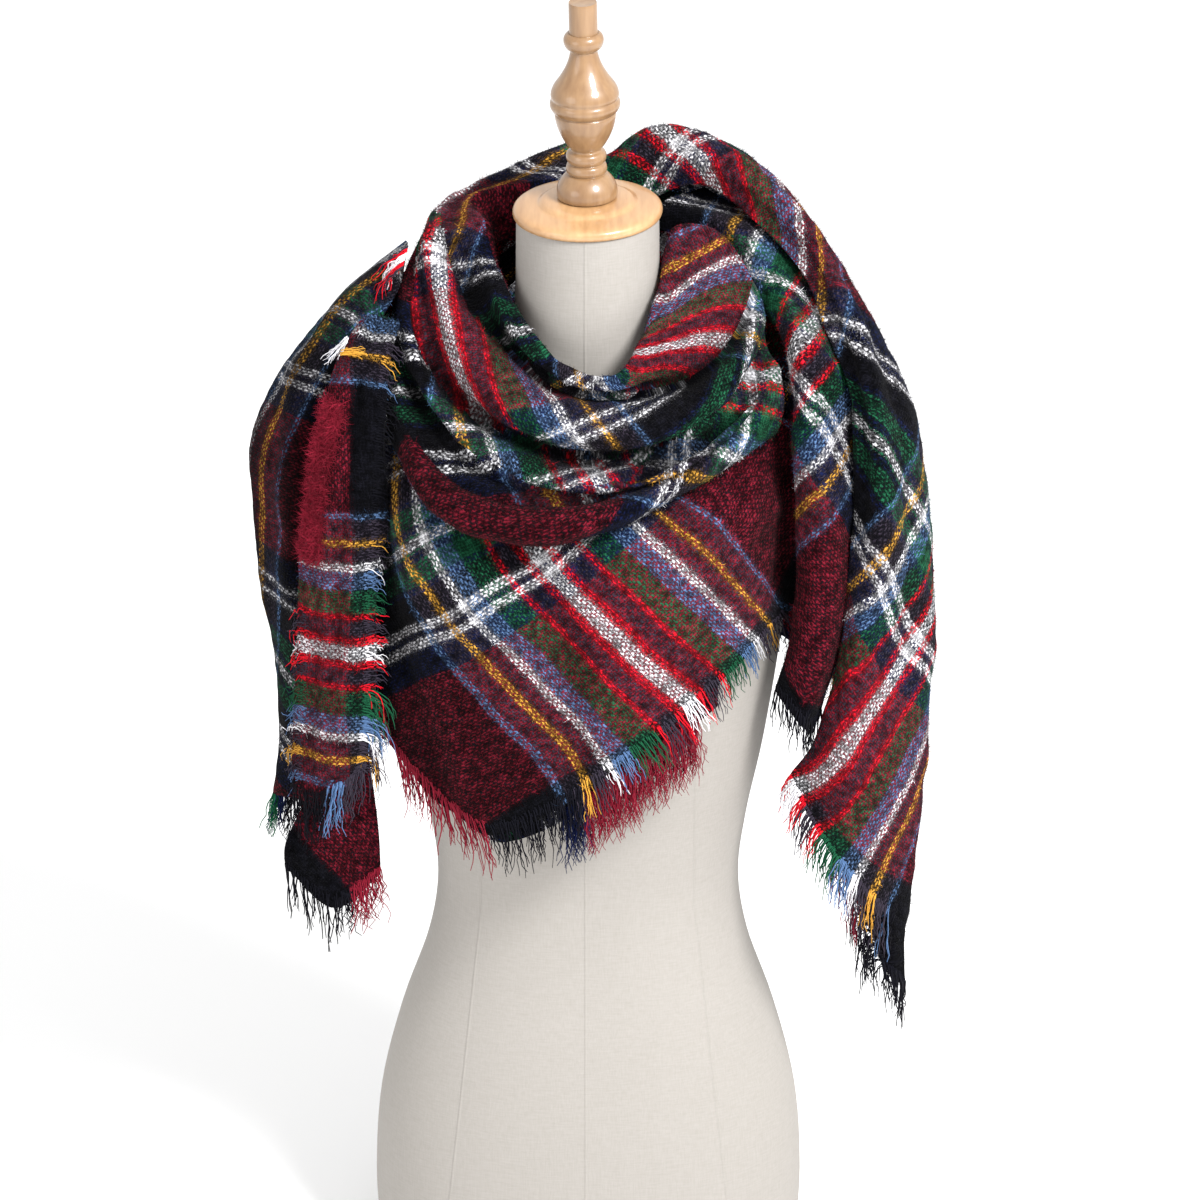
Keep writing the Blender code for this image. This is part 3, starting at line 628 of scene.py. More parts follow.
def crease(grid, along, across, lines):
    """The sheet pushed along its normals by soft troughs and ridges.

    lines are (depth in mm, half width in mm, [(row, column), ...]) in the table's rows and
    columns: a point at distance d from the line moves by depth x exp(-(d / half width)^2),
    less towards the line's two ends."""
    points = grid.reshape(-1, 3)
    shift = np.zeros(len(points))
    for depth, half, path in lines:
        path = spline(path, CREASE_POINTS)
        way = bilinear(grid, path[:, 0] * along, path[:, 1] * across)
        gap = np.linalg.norm(points[:, None] - way[None], axis=2)
        nearest = gap.argmin(axis=1)
        share = nearest / (len(way) - 1)
        fade = np.clip(np.minimum(share, 1 - share) * CREASE_FADE + CREASE_END, 0, 1)
        shift += depth * MM * fade * np.exp(-(gap.min(axis=1) / (half * MM)) ** 2)
    return grid + normals_of(grid) * shift.reshape(grid.shape[:2])[..., None]


def wrinkle(grid, flat, size, seed):
    """Small soft unevenness: a sum of sines over the cloth, each with its own direction."""
    draw = np.random.default_rng(seed)
    shift = np.zeros(flat.shape[:2])
    for wave, part in WAVES:
        for _ in range(2):
            angle, phase = draw.uniform(0, math.pi), draw.uniform(0, 2 * math.pi)
            run = flat[..., 0] * math.cos(angle) + flat[..., 1] * math.sin(angle)
            shift += part * np.sin(run * 2 * math.pi / wave + phase)
    return grid + normals_of(grid) * (shift * size * MM)[..., None]


def hollows(grid, side):
    """How deep each point lies in a fold, up to 1: its distance below a smoothed copy of the
    sheet on the given side, as a share of the deepest.  A ridge is less than 0.  The finishes
    paint shade by it in folds, and painted light on ridges."""
    soft = grid.copy()
    for _ in range(HOLLOW_TURNS):
        soft[1:-1] = (soft[:-2] + soft[2:]) / 4 + soft[1:-1] / 2
        soft[:, 1:-1] = (soft[:, :-2] + soft[:, 2:]) / 4 + soft[:, 1:-1] / 2
    below = ((soft - grid) * normals_of(grid)).sum(axis=-1) * side / MM
    return np.clip(below / HOLLOW_DEEPEST, HOLLOW_LEAST, 1.0)


def walled(name, grid, flat, band=None, side=-1, shaded=0.0):
    """A closed wall of cloth, half its thickness to each side of the sheet.

    flat gives the places on the square.  Where the cloth disappears into creases and comes
    out again, flat is a stack of such places and band says which one each quad takes.
    side is the face that shows, -1 or 1, and shaded is painted shade added to the hollows."""
    rows, columns = grid.shape[:2]
    half = normals_of(grid) * WALL / 2
    points = np.concatenate([(grid + half).reshape(-1, 3), (grid - half).reshape(-1, 3)])
    flats = flat.reshape(-1, rows * columns, 2) * MM
    band = np.zeros((rows - 1, columns - 1), dtype=int) if band is None else band
    index = np.arange(rows * columns).reshape(rows, columns)
    quads = quads_of(index)
    rim = np.concatenate([index[0, :-1], index[:-1, -1], index[-1, :0:-1], index[:0:-1, 0]])
    ring = np.roll(rim, -1)
    back = rows * columns
    edge = np.stack([ring, rim, rim + back, ring + back], axis=-1)
    rim_band = band[np.minimum(rim // columns, rows - 2), np.minimum(rim % columns, columns - 2)]
    uv = np.concatenate([flats[kind[:, None], part % back].reshape(-1, 2) for kind, part in (
        (band.reshape(-1), quads), (band.reshape(-1), quads[:, ::-1]), (rim_band, edge))])
    hollow = np.tile((hollows(grid, side) + shaded).reshape(-1), 2)
    piece = mesh_piece(name, points, [quads, quads[:, ::-1] + back, edge], uv, CLOTH_FINISH,
                       hollow)
    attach(piece, "root")
    return piece


def nap(name, grid, flat, count, side=-1, band=None, length=NAP_LENGTH, width=NAP_WIDTH,
        finish=CLOTH_FINISH, shaded=0.0):
    """Loose fibres of the brushed face, each a slim blade of a quad and a triangle.

    count is fibres in all, and side the face that they stand on, -1 or 1.  A fibre starts at
    a random place, leans along the sheet at a random angle, and bends again half way."""
    rows, columns = grid.shape[:2]
    size = areas_of(grid).reshape(-1)
    chosen = random.choice(size.size, count, p=size / size.sum())
    row = chosen // (columns - 1) + random.random(count)
    column = chosen % (columns - 1) + random.random(count)
    root = bilinear(grid, row, column)
    facing = unit(bilinear(normals_of(grid), row, column)) * side
    flats = flat.reshape(-1, rows, columns, 2)
    kind = np.zeros(count, dtype=int) if band is None else band.reshape(-1)[chosen]
    places = np.stack([bilinear(values, row, column) for values in flats]) * MM
    place = places[kind, np.arange(count)]
    lean = unit(np.cross(facing, random.normal(size=(count, 3))))
    reach = length * MM * (0.35 + 0.65 * random.random((count, 1)))
    rise = 0.12 + 0.65 * random.random((count, 1)) ** 2
    root = root + facing * WALL * 0.5
    middle = root + (lean * (1 - rise) + facing * rise) * reach * 0.55
    tip = middle + unit(lean + random.normal(size=(count, 3)) * 0.6) * reach * 0.5
    broad = unit(np.cross(lean, facing)) * width * MM / 2
    points = np.stack([root - broad, root + broad, middle + broad * 0.7,
                       middle - broad * 0.7, tip], axis=1).reshape(-1, 3)
    first = np.arange(count)[:, None] * 5
    deep = hollows(grid, side) + shaded
    hollow = bilinear(deep[..., None], row, column)
    faces = [first + np.array([[0, 1, 2, 3]]), first + np.array([[3, 2, 4]])]
    piece = mesh_piece(name, points, faces, np.repeat(place, 5, axis=0), finish,
                       np.repeat(hollow, 5))
    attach(piece, "root")


def declare(grid):
    """Sums the areas of the sheet's cells, its true area; the sum is not kept."""
    areas_of(grid).sum()


# ============================================================ the cowl
# The middle of the scarf: a roll round the neck, a soft inner collar and four swags that hang
# one below the other in front.  It lies on the form's shoulders and carries everything else.
COWL_STEPS = (8, 5)
COWL_COUNT, COWL_LEAD = 22, 4   # points on a fold line in front, and on each span behind
# each fold line: wearer's-right end, lowest point, wearer's-left end, the lean at both ends
COWL_FOLDS = [
    (-72, 30, 830, 17, -78, 738, 68, 12, 806, 0.00, 0.04),
    (-77, 22, 850, 18, -92, 768, 65, 12, 850, 0.28, 0.54),
    (-88, 22, 853, 14, -97, 760, 100, 14, 848, 0.29, 0.36),
    (-100, 16, 846, 9, -86, 750, 129, -4, 810, 0.30, 0.12),
    (-122, 6, 850, 12, -126, 732, 136, -16, 788, 0.18, 0.15),
    (-128, 0, 824, 9, -111, 709, 138, -32, 769, 0.12, 0.18),
    (-140, -24, 800, 2, -141, 697, 146, -46, 760, 0.15, 0.36),
    (-147, -22, 774, -6, -135, 687, 147, -52, 754, 0.20, 0.46),
    (-152, -40, 750, -18, -154, 683, 149, -60, 738, 0.18, 0.51),
    (-153, -45, 728, -34, -170, 670, 147, -62, 722, 0.14, 0.60),
    (-148, -44, 712, -38, -156, 658, 143, -58, 711, 0.14, 0.64),
    (-141, -40, 708, -36, -140, 663, 139, -49, 707, 0.14, 0.68)]
# where the same lines go on over the wearer's right shoulder to the nape
COWL_WRAP = [
    (-58, 46, 830, 8, 58.6, 826), (-80, 52, 862, 8, 74, 866), (-86, 56, 864, 8, 82, 880),
    (-92, 58, 862, 8, 90, 888), (-100, 60, 864, 8, 104, 898), (-112, 62, 852, 8, 116, 896),
    (-124, 54, 822, 8, 128, 886), (-130, 50, 800, 8, 134, 874), (-136, 44, 778, 8, 130, 862),
    (-137, 40, 758, 8, 126, 850), (-132, 36, 742, 8, 121, 840), (-124, 34, 736, 8, 115, 832)]
# The cloth runs deep into the creases between the folds, so each stretch that shows is laid
# out by itself.  Stretch: first and last fold line, pins (row, column, p, q), where a column
# is one point of a fold line.
COWL_STRETCHES = [
    ("roll and collar", 0, 6, [
        (1.0, 25.0, 954.5, None), (1.5, 27.3, 954.5, None), (1.9, 29.2, 954.5, None),
        (1.4, 29.6, 976.5, None), (2.2, 29.1, 934.5, None), (1.5, 26.1, 934.5, None),
        (2.8, 28.4, 891, None), (1.8, 26.0, 891, None), (2.2, 25.7, 865.5, None),
        (2.8, 27.1, 865.5, None), (2.0, 24.1, 840, None), (2.8, 25.2, 840, None),
        (1.7, 19.3, None, 458), (2.2, 23.0, 824, None), (2.6, 29.0, None, 345),
        (1.3, 16.8, 776.5, None), (1.6, 18.4, 796.5, None), (2.0, 11.3, None, 546.5),
        (2.9, 7.9, 623.5, 611.5), (2.2, 7.5, 623.5, 640), (3.2, 4.2, 603.5, 738),
        (3.6, 8.3, 603.5, None), (3.7, 1.4, 623.5, None), (3.2, 3.4, None, 763),
        (3.7, 2.4, None, 794), (4.4, 2.3, None, 794), (3.6, 1.2, None, 832),
        (4.5, 1.3, 603.5, None)]),
    ("first swag", 3, 6, [
        (3.6, 18.5, 623.5, 304), (3.8, 19.2, 623.5, 292), (3.8, 17.4, 603.5, 304),
        (4.0, 9.8, 534.5, None), (4.2, 11.5, 534.5, None), (4.5, 12.9, 534.5, None),
        (3.9, 14.8, None, 330), (3.5, 16.7, None, 330), (3.0, 18.9, None, 330),
        (3.3, 20.5, None, 304), (3.2, 22.6, None, 292), (3.8, 8.9, 534.5, 487),
        (3.1, 28.1, None, 239), (4.2, 26.1, None, 239), (3.2, 27.7, 776.5, 239),
        (3.0, 14.2, 603.5, None), (3.3, 16.2, 603.5, None)]),
    ("second swag", 4, 7, [
        (5.5, 12.9, 445.5, None), (5.7, 13.2, 445.5, 239), (5.2, 14.1, 465.5, 239),
        (5.2, 16.2, 493, None), (5.3, 17.2, 506, None), (5.5, 18.6, 524.5, None),
        (5.3, 18.8, 534.5, None), (5.3, 19.3, 544.5, None), (5.3, 20.6, 563, None),
        (6.0, 14.5, 445.5, None), (5.8, 15.2, 465.5, None)]),
    ("third swag", 4, 11, [
        (7.4, 9.3, None, 239), (7.4, 10.4, 370, 221), (7.0, 12.3, None, 200),
        (7.2, 13.3, None, 186), (7.2, 14.4, None, 174), (6.8, 16.0, 423.5, 158),
        (7.4, 16.8, None, 147), (6.9, 18.0, 445.5, None), (6.6, 19.6, 465.5, 120)]),
    ("lowest swag", 4, 11, [
        (8.2, 11.0, 341, 50), (8.2, 14.4, 352, 82), (8.3, 16.7, 370, 102),
        (8.2, 18.2, 378, 112), (9.5, 14.0, 324, 98), (8.3, 19.2, 384, 118),
        (8.0, 20.8, 398, 132), (8.0, 21.8, 410, 145), (8.1, 22.9, 423.5, 158),
        (7.7, 24.3, 440, 173), (6.3, 23.6, 445.5, 186), (5.8, 24.7, 465.5, 206),
        (5.9, 26.0, 476, None), (5.4, 26.4, 493, None), (5.1, 26.8, 506, None),
        (5.8, 28.2, None, 239), (5.8, 29.0, 524.5, None), (5.5, 29.2, 534.5, None),
        (5.0, 28.0, None, 239), (5.1, 29.2, 544.5, None)]),
    ("inner face", 0, 2, [(0, 4, 345, 135), (1, 12, 390, 60), (0, 0, 330, 145)])]
# where one stretch gives way to the next: column, row
CREASE_ONE = [(0, 6.0), (5, 4.6), (6.3, 3.5), (9.6, 3.3), (10.9, 3.2), (14.2, 2.8),
              (17.9, 2.7), (21.5, 2.9), (24.2, 2.9), (27.1, 2.9), (30, 2.9)]
CREASE_TWO = [(0, 7.0), (3, 6.2), (5.3, 5.3), (8.8, 5.7), (10.8, 5.4), (12.8, 5.2),
              (16.1, 4.8), (19.4, 5.0), (23, 4.5), (27.2, 4.4), (30, 4.3)]
CREASE_THREE = [(0, 8.0), (5, 7.0), (8.3, 6.8), (10.9, 6.7), (13.3, 6.2), (15.3, 6.0),
                (18.9, 6.3), (19.8, 6.0), (20.6, 5.6), (21.0, 5.2), (21.6, 4.8),
                (23.2, 4.51), (27.2, 4.41), (30, 4.31)]
CREASE_FOUR = [(0, 9.0), (11.6, 7.9), (13.5, 7.9), (16.2, 7.8), (17.4, 7.6), (18.5, 7.5),
               (20.2, 7.1), (20.6, 6.0), (21.0, 5.25), (21.6, 4.85), (23.2, 4.52),
               (27.2, 4.42), (30, 4.32)]
INNER_FACE = [(0, 1.5), (5, 1.4), (8, 1.25), (11, 1.15), (15, 0.8), (17, -1.0), (30, -1.0)]
FAINT_END = [(21.2, 5.6), (24.7, 5.3), (28.9, 5.8)]
COWL_CREASES = [(8.0, 6.5, [(row, column) for column, row in CREASE_ONE[2:]]),
                (8.0, 6.5, [(row, column) for column, row in CREASE_TWO[2:]]),
                (7.0, 6.0, [(row, column) for column, row in CREASE_THREE[2:7] + FAINT_END]),
                (4.0, 4.5, [(row, column) for column, row in CREASE_FOUR[1:8]])]
LOWEST_SHADE, BETWEEN_SHADE = 0.45, 0.30
SHADE_STOPS = 23                # column by which that shade has faded out


def hanging_line(fold):
    """Points of one fold line: two parabolas that meet level at its lowest point."""
    low = np.array(fold[3:6], dtype=float)
    halves = []
    for end, lean in ((fold[0:3], fold[9]), (fold[6:9], fold[10])):
        turn = np.array([end[0] + lean * (low[0] - end[0]), low[1], low[2]])
        t = np.linspace(0.0, 1.0, COWL_COUNT // 2 + 1)[:, None]
        halves.append((1 - t) ** 2 * np.array(end) + 2 * t * (1 - t) * turn + t ** 2 * low)
    return np.concatenate([halves[0], halves[1][-2::-1]])


def wrapped_line(fold, wrap):
    """A hanging line led on from its first end over the shoulder to the nape."""
    line = hanging_line(fold)
    led = spline([wrap[3:], wrap[:3], line[0], line[1]], COWL_LEAD)
    return np.concatenate([led[:2 * COWL_LEAD], line])


cowl_lines = [wrapped_line(fold, wrap) for fold, wrap in zip(COWL_FOLDS, COWL_WRAP)]
cowl = sheet_net(cowl_lines, *COWL_STEPS)
rows, columns = cowl.shape[:2]
cowl_flats = np.zeros((len(COWL_STRETCHES), rows, columns, 2))
for k, (_, first, last, pins) in enumerate(COWL_STRETCHES):
    # the coarse net takes every point of the fold lines, so two columns make a span
    moved = [(row - first, column / COARSE, p, q) for row, column, p, q in pins]
    part = flat_places(spline(cowl_lines[first:last + 1], COARSE) * MM, moved,
                       COWL_STEPS[0], COWL_STEPS[1] * COARSE)
    top = first * COWL_STEPS[0]
    cowl_flats[k] = part[np.clip(np.arange(rows) - top, 0, len(part) - 1)]
quad_row = ((np.arange(rows - 1) + 0.5) / COWL_STEPS[0])[:, None]
quad_column = (np.arange(columns - 1) + 0.5) / COWL_STEPS[1]
edges = [np.interp(quad_column, *zip(*line))
         for line in (CREASE_ONE, CREASE_TWO, CREASE_THREE, CREASE_FOUR, INNER_FACE)]
*fold_edges, face_edge = edges
cowl_band = sum((quad_row > edge).astype(int) for edge in fold_edges)
cowl_band = np.where(quad_row < face_edge, len(COWL_STRETCHES) - 1, cowl_band)
cowl = crease(cowl, *COWL_STEPS, COWL_CREASES)
cowl = wrinkle(cowl, cowl_flats[0], 0.45, 1)
# the lower swags lie in the shade of the ones above
row_place = (np.arange(rows) / COWL_STEPS[0])[:, None]
column_place = np.arange(columns) / COWL_STEPS[1]
under = np.interp(column_place, *zip(*CREASE_FOUR))
between = np.interp(column_place, *zip(*CREASE_THREE))
lowest = LOWEST_SHADE * np.clip((row_place - under + 0.3) / 0.3, 0, 1)
wedge = BETWEEN_SHADE * np.clip((row_place - between + 0.2) / 0.2, 0, 1)
cowl_shade = np.maximum(lowest, wedge) * np.clip((SHADE_STOPS - column_place) / 4, 0, 1)
cowl_piece = walled("cowl_cloth", cowl, cowl_flats, cowl_band, shaded=cowl_shade)
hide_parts("scarf_cowl")
declare(cowl)
nap("cowl_nap", cowl, cowl_flats, 26000, band=cowl_band, shaded=cowl_shade)

# ============================================================ the front point, top layer
# The corner of the square that hangs in front, below the swags.  Both its edges are fringed
# with the cloth's own loose yarns: those of the first set along the hem, and those of the
# second round the corner and up the side.
POINT_STEPS = (18, 12)
HEM_ROWS = 3                    # the last stretch of the hem is loose yarn only
CORNER_SHADE, CORNER_FROM, CORNER_FADE = 0.42, 100.0, 12.0      # the last two in mm of p
# In every table of sections a row is one line across the sheet, from its top to its hem, in
# mm.  Pins and creases are as lay_flat and crease take them.
POINT_SECTIONS = [
    ((-162, -38, 694), (-141, -57, 697.5), (-116, -84, 684), (-78, -106, 674),
     (-10, -112, 674), (56, -94, 682), (110, -60, 702), (140, -42, 711), (162, -25, 716)),
    ((-174, -50, 658), (-151, -86, 664), (-127, -114, 640), (-82, -136, 620),
     (-12, -144, 630), (54, -134, 648), (114, -104, 662), (150, -56, 660), (174, -34, 664)),
    ((-176, -54, 590), (-149, -90, 592), (-124, -112, 570), (-84, -134, 552),
     (-14, -148, 568), (50, -142, 596), (111, -112, 622), (150, -58, 632), (176, -36, 636)),
    ((-168, -62, 515), (-141, -94, 505), (-114, -113, 485), (-80, -133, 472),
     (-17, -150, 496), (45, -147, 536), (105, -118, 570), (149, -60, 594), (174, -38, 600)),
    ((-152, -84, 455), (-124, -100, 421), (-98, -113, 404), (-70, -130, 396),
     (-20, -148, 428), (40, -148, 478), (98, -122, 522), (148, -62, 552), (170, -40, 562))]
POINT_PINS = [
    (1.7, 2.5, 114.5, 186), (1.7, 2.8, 114.5, 174), (1.3, 2.8, 134.5, 186),
    (1.5, 3.0, 134.5, 174), (0.8, 3.7, 203.5, 186), (1.0, 3.8, 203.5, 174),
    (0.8, 2.0, 134.5, 239), (4.0, 4.4, 114.5, 8), (4.0, 4.0, 92, 5), (4.0, 4.8, 134.5, 5),
    (4.0, 5.8, 203.5, 6), (4.0, 6.4, 245, 5), (4.0, 6.8, 272.5, 8), (4.0, 7.0, 292.5, 15),
    (3.8, 7.0, 314.5, 28), (0.3, 5.2, 314.5, None), (1.0, 5.7, 314.5, None),
    (2.2, 6.3, 314.5, None), (0.8, 5.2, 292.5, None), (1.9, 5.8, 292.5, None),
    (0.8, 4.8, 272.5, None), (2.3, 5.8, 272.5, None), (3.1, 0.5, None, 148),
    (2.3, 2.2, None, 148), (1.6, 3.4, None, 148), (0.9, 4.4, None, 148),
    (0.7, 4.8, None, 148), (2.1, 2.4, 92, None), (2.4, 3.0, 92, None), (2.8, 3.5, 92, None),
    (3.2, 3.8, 92, None), (2.2, 3.4, 114.5, None), (3.0, 4.0, 114.5, None),
    (2.6, 3.9, 134.5, None), (3.4, 3.8, None, 28), (3.8, 2.7, None, 28),
    (1.2, 1.8, None, 239), (1.7, 4.3, 203.5, None), (2.5, 4.8, 203.5, None),
    (3.3, 5.4, 203.5, None), (3.2, 0.4, 8, None), (4.0, 0.4, 6, None),
    (0.2, 1.0, 114.5, 304), (0.4, 1.2, 114.5, 292), (0.2, 1.6, 134.5, None),
    (0.5, 1.7, 134.5, None), (0.8, 1.3, 114.5, None), (0.4, 2.5, None, 239)]
POINT_CREASES = [(-5.0, 15.0, [(0.1, 1.4), (1.4, 1.9), (2.8, 2.3), (3.7, 2.6)]),
                 (4.0, 11.0, [(0.4, 0.7), (1.8, 0.9), (3.2, 1.4)]),
                 (5.0, 16.0, [(0.1, 3.2), (1.6, 3.9), (3.0, 4.2), (3.9, 4.1)]),
                 (4.0, 13.0, [(0.4, 6.1), (1.8, 5.9), (3.6, 5.6)]),
                 (4.0, 9.0, [(0.3, 7.2), (1.6, 7.0), (3.4, 6.9)])]
YARN_STATIONS = 8               # rings along a loose yarn
YARN_INSET = 10.0               # mm, a loose yarn starts this far inside the cloth's edge
BUNCH_PITCH = 5.5               # mm between the bunches that loose yarns gather in


def yarn_finish(name, first_set):
    """A loose yarn of one set, with painted light and shade along its twist."""
    finish = Finish(name, Roughness=0.95, Sheen_Weight=0.02, Specular_IOR_Level=0.04)
    p, q, _ = finish.split(finish.stretch(finish.place("UV"), CLOTH_MM))
    if first_set:
        colour = sett(finish, ((p / PITCH).math("FLOOR") + 0.5) * PITCH, P_SETT)
    else:
        colour = q_yarn(finish, ((q / PITCH).math("FLOOR") + 0.5) * PITCH)
    twist = finish.noise(finish.place(), 600.0, 2.0)
    # painted light: loose yarns of the second set are made lighter than the first, for the light
    # they catch; painted shade in folds by the stored hollow
    lightness = 0.45 if first_set else 0.7
    tone = (twist * 0.7 + lightness) * (finish.hollow() * FOLD_PAINTED_SHADE + 1.0)
    finish.feed("Base Color", finish.shade(colour, tone))
    finish.bump(twist, 0.0004, 0.5)
    return finish.material


def strands(name, roots, leave, facing, place, finish, length, droop, curl, thick=0.9):
    """Loose yarns: three-sided tubes from their roots that run out, fall and curl.

    leave is the direction off the cloth, facing the side of the cloth that they lie on.
    At share t a yarn heads along leave x (1 - droop x t) + down x droop x 1.6 t, its middle is
    the sum of its headings, and it sways by sines that grow with t up to curl."""
    count = len(roots)
    t = np.linspace(0, 1, YARN_STATIONS)[None, :, None]
    long = length * MM * (0.55 + 0.6 * random.random((count, 1, 1)))
    down = np.array([0.0, 0.0, -1.0])
    fall = droop * (0.7 + 0.6 * random.random((count, 1, 1)))
    heading = unit(leave[:, None] * (1 - fall * t) + down * fall * t * 1.6
                   + random.normal(size=(count, 1, 3)) * 0.11)
    step = np.concatenate([np.zeros((count, 1, 3)),
                           heading[:, 1:] * long / (YARN_STATIONS - 1)], axis=1)
    middle = roots[:, None] + np.cumsum(step, axis=1)
    sway = unit(np.cross(leave, facing))[:, None]
    phase = random.random((2, count, 1, 1)) * 2 * math.pi
    rate = 1.0 + 2.2 * random.random((2, count, 1, 1))
    grow = curl * MM * t ** 1.2
    middle += sway * grow * np.sin(rate[0] * 2 * math.pi * t + phase[0])
    middle += facing[:, None] * grow * 0.7 * np.sin(rate[1] * 2 * math.pi * t + phase[1])
    middle += facing[:, None] * WALL * 0.75 * np.clip(1 - 1.4 * t, 0, 1)
    run = unit(np.gradient(middle, axis=1))
    first = unit(np.cross(run, sway + facing[:, None] * 0.3))
    second = np.cross(run, first)
    taper = thick * MM / 2 * (1 - 0.45 * t ** 2) * (0.8 + 0.4 * random.random((count, 1, 1)))
    ring = [middle + (first * math.cos(a) + second * math.sin(a)) * taper
            for a in (0.0, 2 * math.pi / 3, 4 * math.pi / 3)]
    points = np.stack(ring, axis=2).reshape(count, -1, 3)
    quads, ends = tube_faces(YARN_STATIONS, 3)
    offset = (np.arange(count) * YARN_STATIONS * 3)[:, None, None]
    faces = [(quads + offset).reshape(-1, 4), (ends + offset).reshape(-1, 3)]
    piece = mesh_piece(name, points.reshape(-1, 3), faces,
                       np.repeat(place * MM, YARN_STATIONS * 3, axis=0), finish)
    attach(piece, "root")
    return piece


# how each edge of a sheet is brought to the front as its first row
EDGE_FIRST = {"hem": lambda values: values[::-1],
              "first": lambda values: values.transpose(1, 0, 2),
              "last": lambda values: values.transpose(1, 0, 2)[::-1]}


def edge_yarns(name, grid, flat, side, span, per_mm, finish, length, droop, curl,
               outside=-1, thick=0.9, bunch=0.35, follow=0.0):
    """Yarns along a stretch of a sheet's edge, rooted a little way inside it.

    side names the edge: hem is the last row, and first and last are columns.  span is the
    stretch as two shares of that edge, and length is in mm.  Yarns gather in twos and threes
    by turning each towards its group's middle by the share bunch.  With follow at 1 each
    leaves the cloth the way its own set runs, along which its p, or q for the second set,
    stays the same."""
    normal = normals_of(grid) * outside
    around, places, facings = (EDGE_FIRST[side](values) for values in (grid, flat, normal))
    edge = around[0]
    total = np.concatenate([[0], np.cumsum(np.linalg.norm(np.diff(edge, axis=0), axis=1))])
    start, stop = span
    count = max(3, int(total[-1] * (stop - start) / MM * per_mm))
    at = (start + (stop - start) * (np.arange(count) + 0.5
          + random.uniform(-0.4, 0.4, count)) / count) * total[-1]
    group = np.floor(at / (random.uniform(BUNCH_PITCH - 0.5, BUNCH_PITCH + 0.5) * MM))
    middle = (group + 0.5) * BUNCH_PITCH * MM
    spot = np.interp(at, total, np.arange(len(total)))
    depth = np.linalg.norm(around[1] - around[0], axis=1).mean() / MM
    inner = np.full(count, YARN_INSET / depth) * random.uniform(0.7, 1.15, count)
    rim = bilinear(around, np.zeros(count), spot)
    root = bilinear(around, inner, spot)
    facing = unit(bilinear(facings, inner * 0.5, spot))
    leave = unit(rim - root)
    if follow:
        own = 0 if finish is P_YARN else 1
        near = np.minimum(spot, len(total) - 1.01)
        here = [bilinear(values, inner, near) for values in (around, places)]
        deeper = [bilinear(values, inner + 1, near) for values in (around, places)]
        beside = [bilinear(values, inner, near + 1) for values in (around, places)]
        across_step = (beside[1] - here[1])[:, own:own + 1]
        inward_step = (deeper[1] - here[1])[:, own:own + 1]
        way = unit((deeper[0] - here[0]) * across_step - (beside[0] - here[0]) * inward_step)
        way *= np.where((way * leave).sum(axis=1, keepdims=True) < 0, -1.0, 1.0)
        leave = unit(leave * (1 - follow) + way * follow)
    gather = unit(np.gradient(edge, axis=0))
    pull = np.clip((middle - at), -3 * MM, 3 * MM)[:, None] * bunch
    leave = unit(leave + bilinear(gather[None].repeat(2, 0), np.zeros(count), spot)
                 * pull / (12 * MM))
    return strands(name, root, leave, facing, bilinear(places, inner, spot), finish,
                   length + YARN_INSET, droop, curl, thick)


def laid_sheet(sections, steps, pins, creases, uneven, seed):
    """A stretch of the scarf and its places on the square: a sheet through the sections,
    laid flat by its pins, creased, and made a little uneven."""
    flat = flat_places(sheet_net(sections, COARSE, COARSE), pins, *steps)
    grid = crease(sheet_net(sections, *steps), *steps, creases)
    return wrinkle(grid, flat, uneven, seed), flat


P_YARN = yarn_finish("loose yarn of the first set", True)
Q_YARN = yarn_finish("loose yarn of the second set", False)
point, point_flat = laid_sheet(POINT_SECTIONS, POINT_STEPS, POINT_PINS, POINT_CREASES,
                               uneven=0.5, seed=2)
point_edge, point_places = point[:-HEM_ROWS], point_flat[:-HEM_ROWS]
# its corner turns down, away from the light
past_corner = (CORNER_FROM - point_places[..., 0]) / CORNER_FADE
corner_shade = CORNER_SHADE * np.clip(past_corner, 0, 1)
point_piece = walled("point_cloth", point_edge, point_places, shaded=corner_shade)
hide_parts("scarf_point_top")
point_hem = edge_yarns("point_hem_fringe", point_edge, point_places, "hem", (0.42, 0.93),
                       per_mm=0.95, finish=P_YARN, length=20.0, droop=0.25, curl=1.0, thick=1.1,
                       bunch=0.5, follow=0.9)
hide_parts("fringe_point_hem")
point_corner = edge_yarns("point_corner_fringe", point_edge, point_places, "hem", (0.02, 0.44),
                          per_mm=0.9, finish=Q_YARN, length=36.0, droop=0.55, curl=1.8, thick=1.1,
                          bunch=0.8)
point_side = edge_yarns("point_side_fringe", point_edge, point_places, "first", (0.60, 0.99),
                        per_mm=3.0, finish=Q_YARN, length=24.0, droop=0.6, curl=4.5)
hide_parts("fringe_point_side")
declare(point_edge)
nap("point_nap", point_edge, point_places, 17000, shaded=corner_shade)

# ============================================================ the front point, second layer
# The other half of the folded square, let down a little below the top layer and showing
# its crimson fringe.
UNDER_INSET = 7.0               # mm, how far it lies behind
UNDER_DROP, UNDER_DRIFT = 14, 6         # mm, how far its hem is let down, and to the side
UNDER_SHIFT = 225.0             # mm along the cloth from the top layer's place
UNDER_FIRST_ROW, UNDER_COLUMNS = 2, 6           # the part of the top layer's table it takes


def under_layer(grid, first_row):
    """A second layer behind the lower rows of a sheet.  Its hem is let down more and more
    from one side to the other, and its rows follow by the square of their share."""
    rows, columns = grid.shape[:2]
    lower = (grid + normals_of(grid) * UNDER_INSET * MM)[first_row:].copy()
    share = np.linspace(0, 1, rows - first_row)[:, None] ** 2
    side = np.clip(np.linspace(-1.2, 1.6, columns), -0.5, 1)[None, :]
    lower[..., 2] -= UNDER_DROP * MM * share * side
    lower[..., 0] += UNDER_DRIFT * MM * share * np.maximum(side, 0)
    return lower


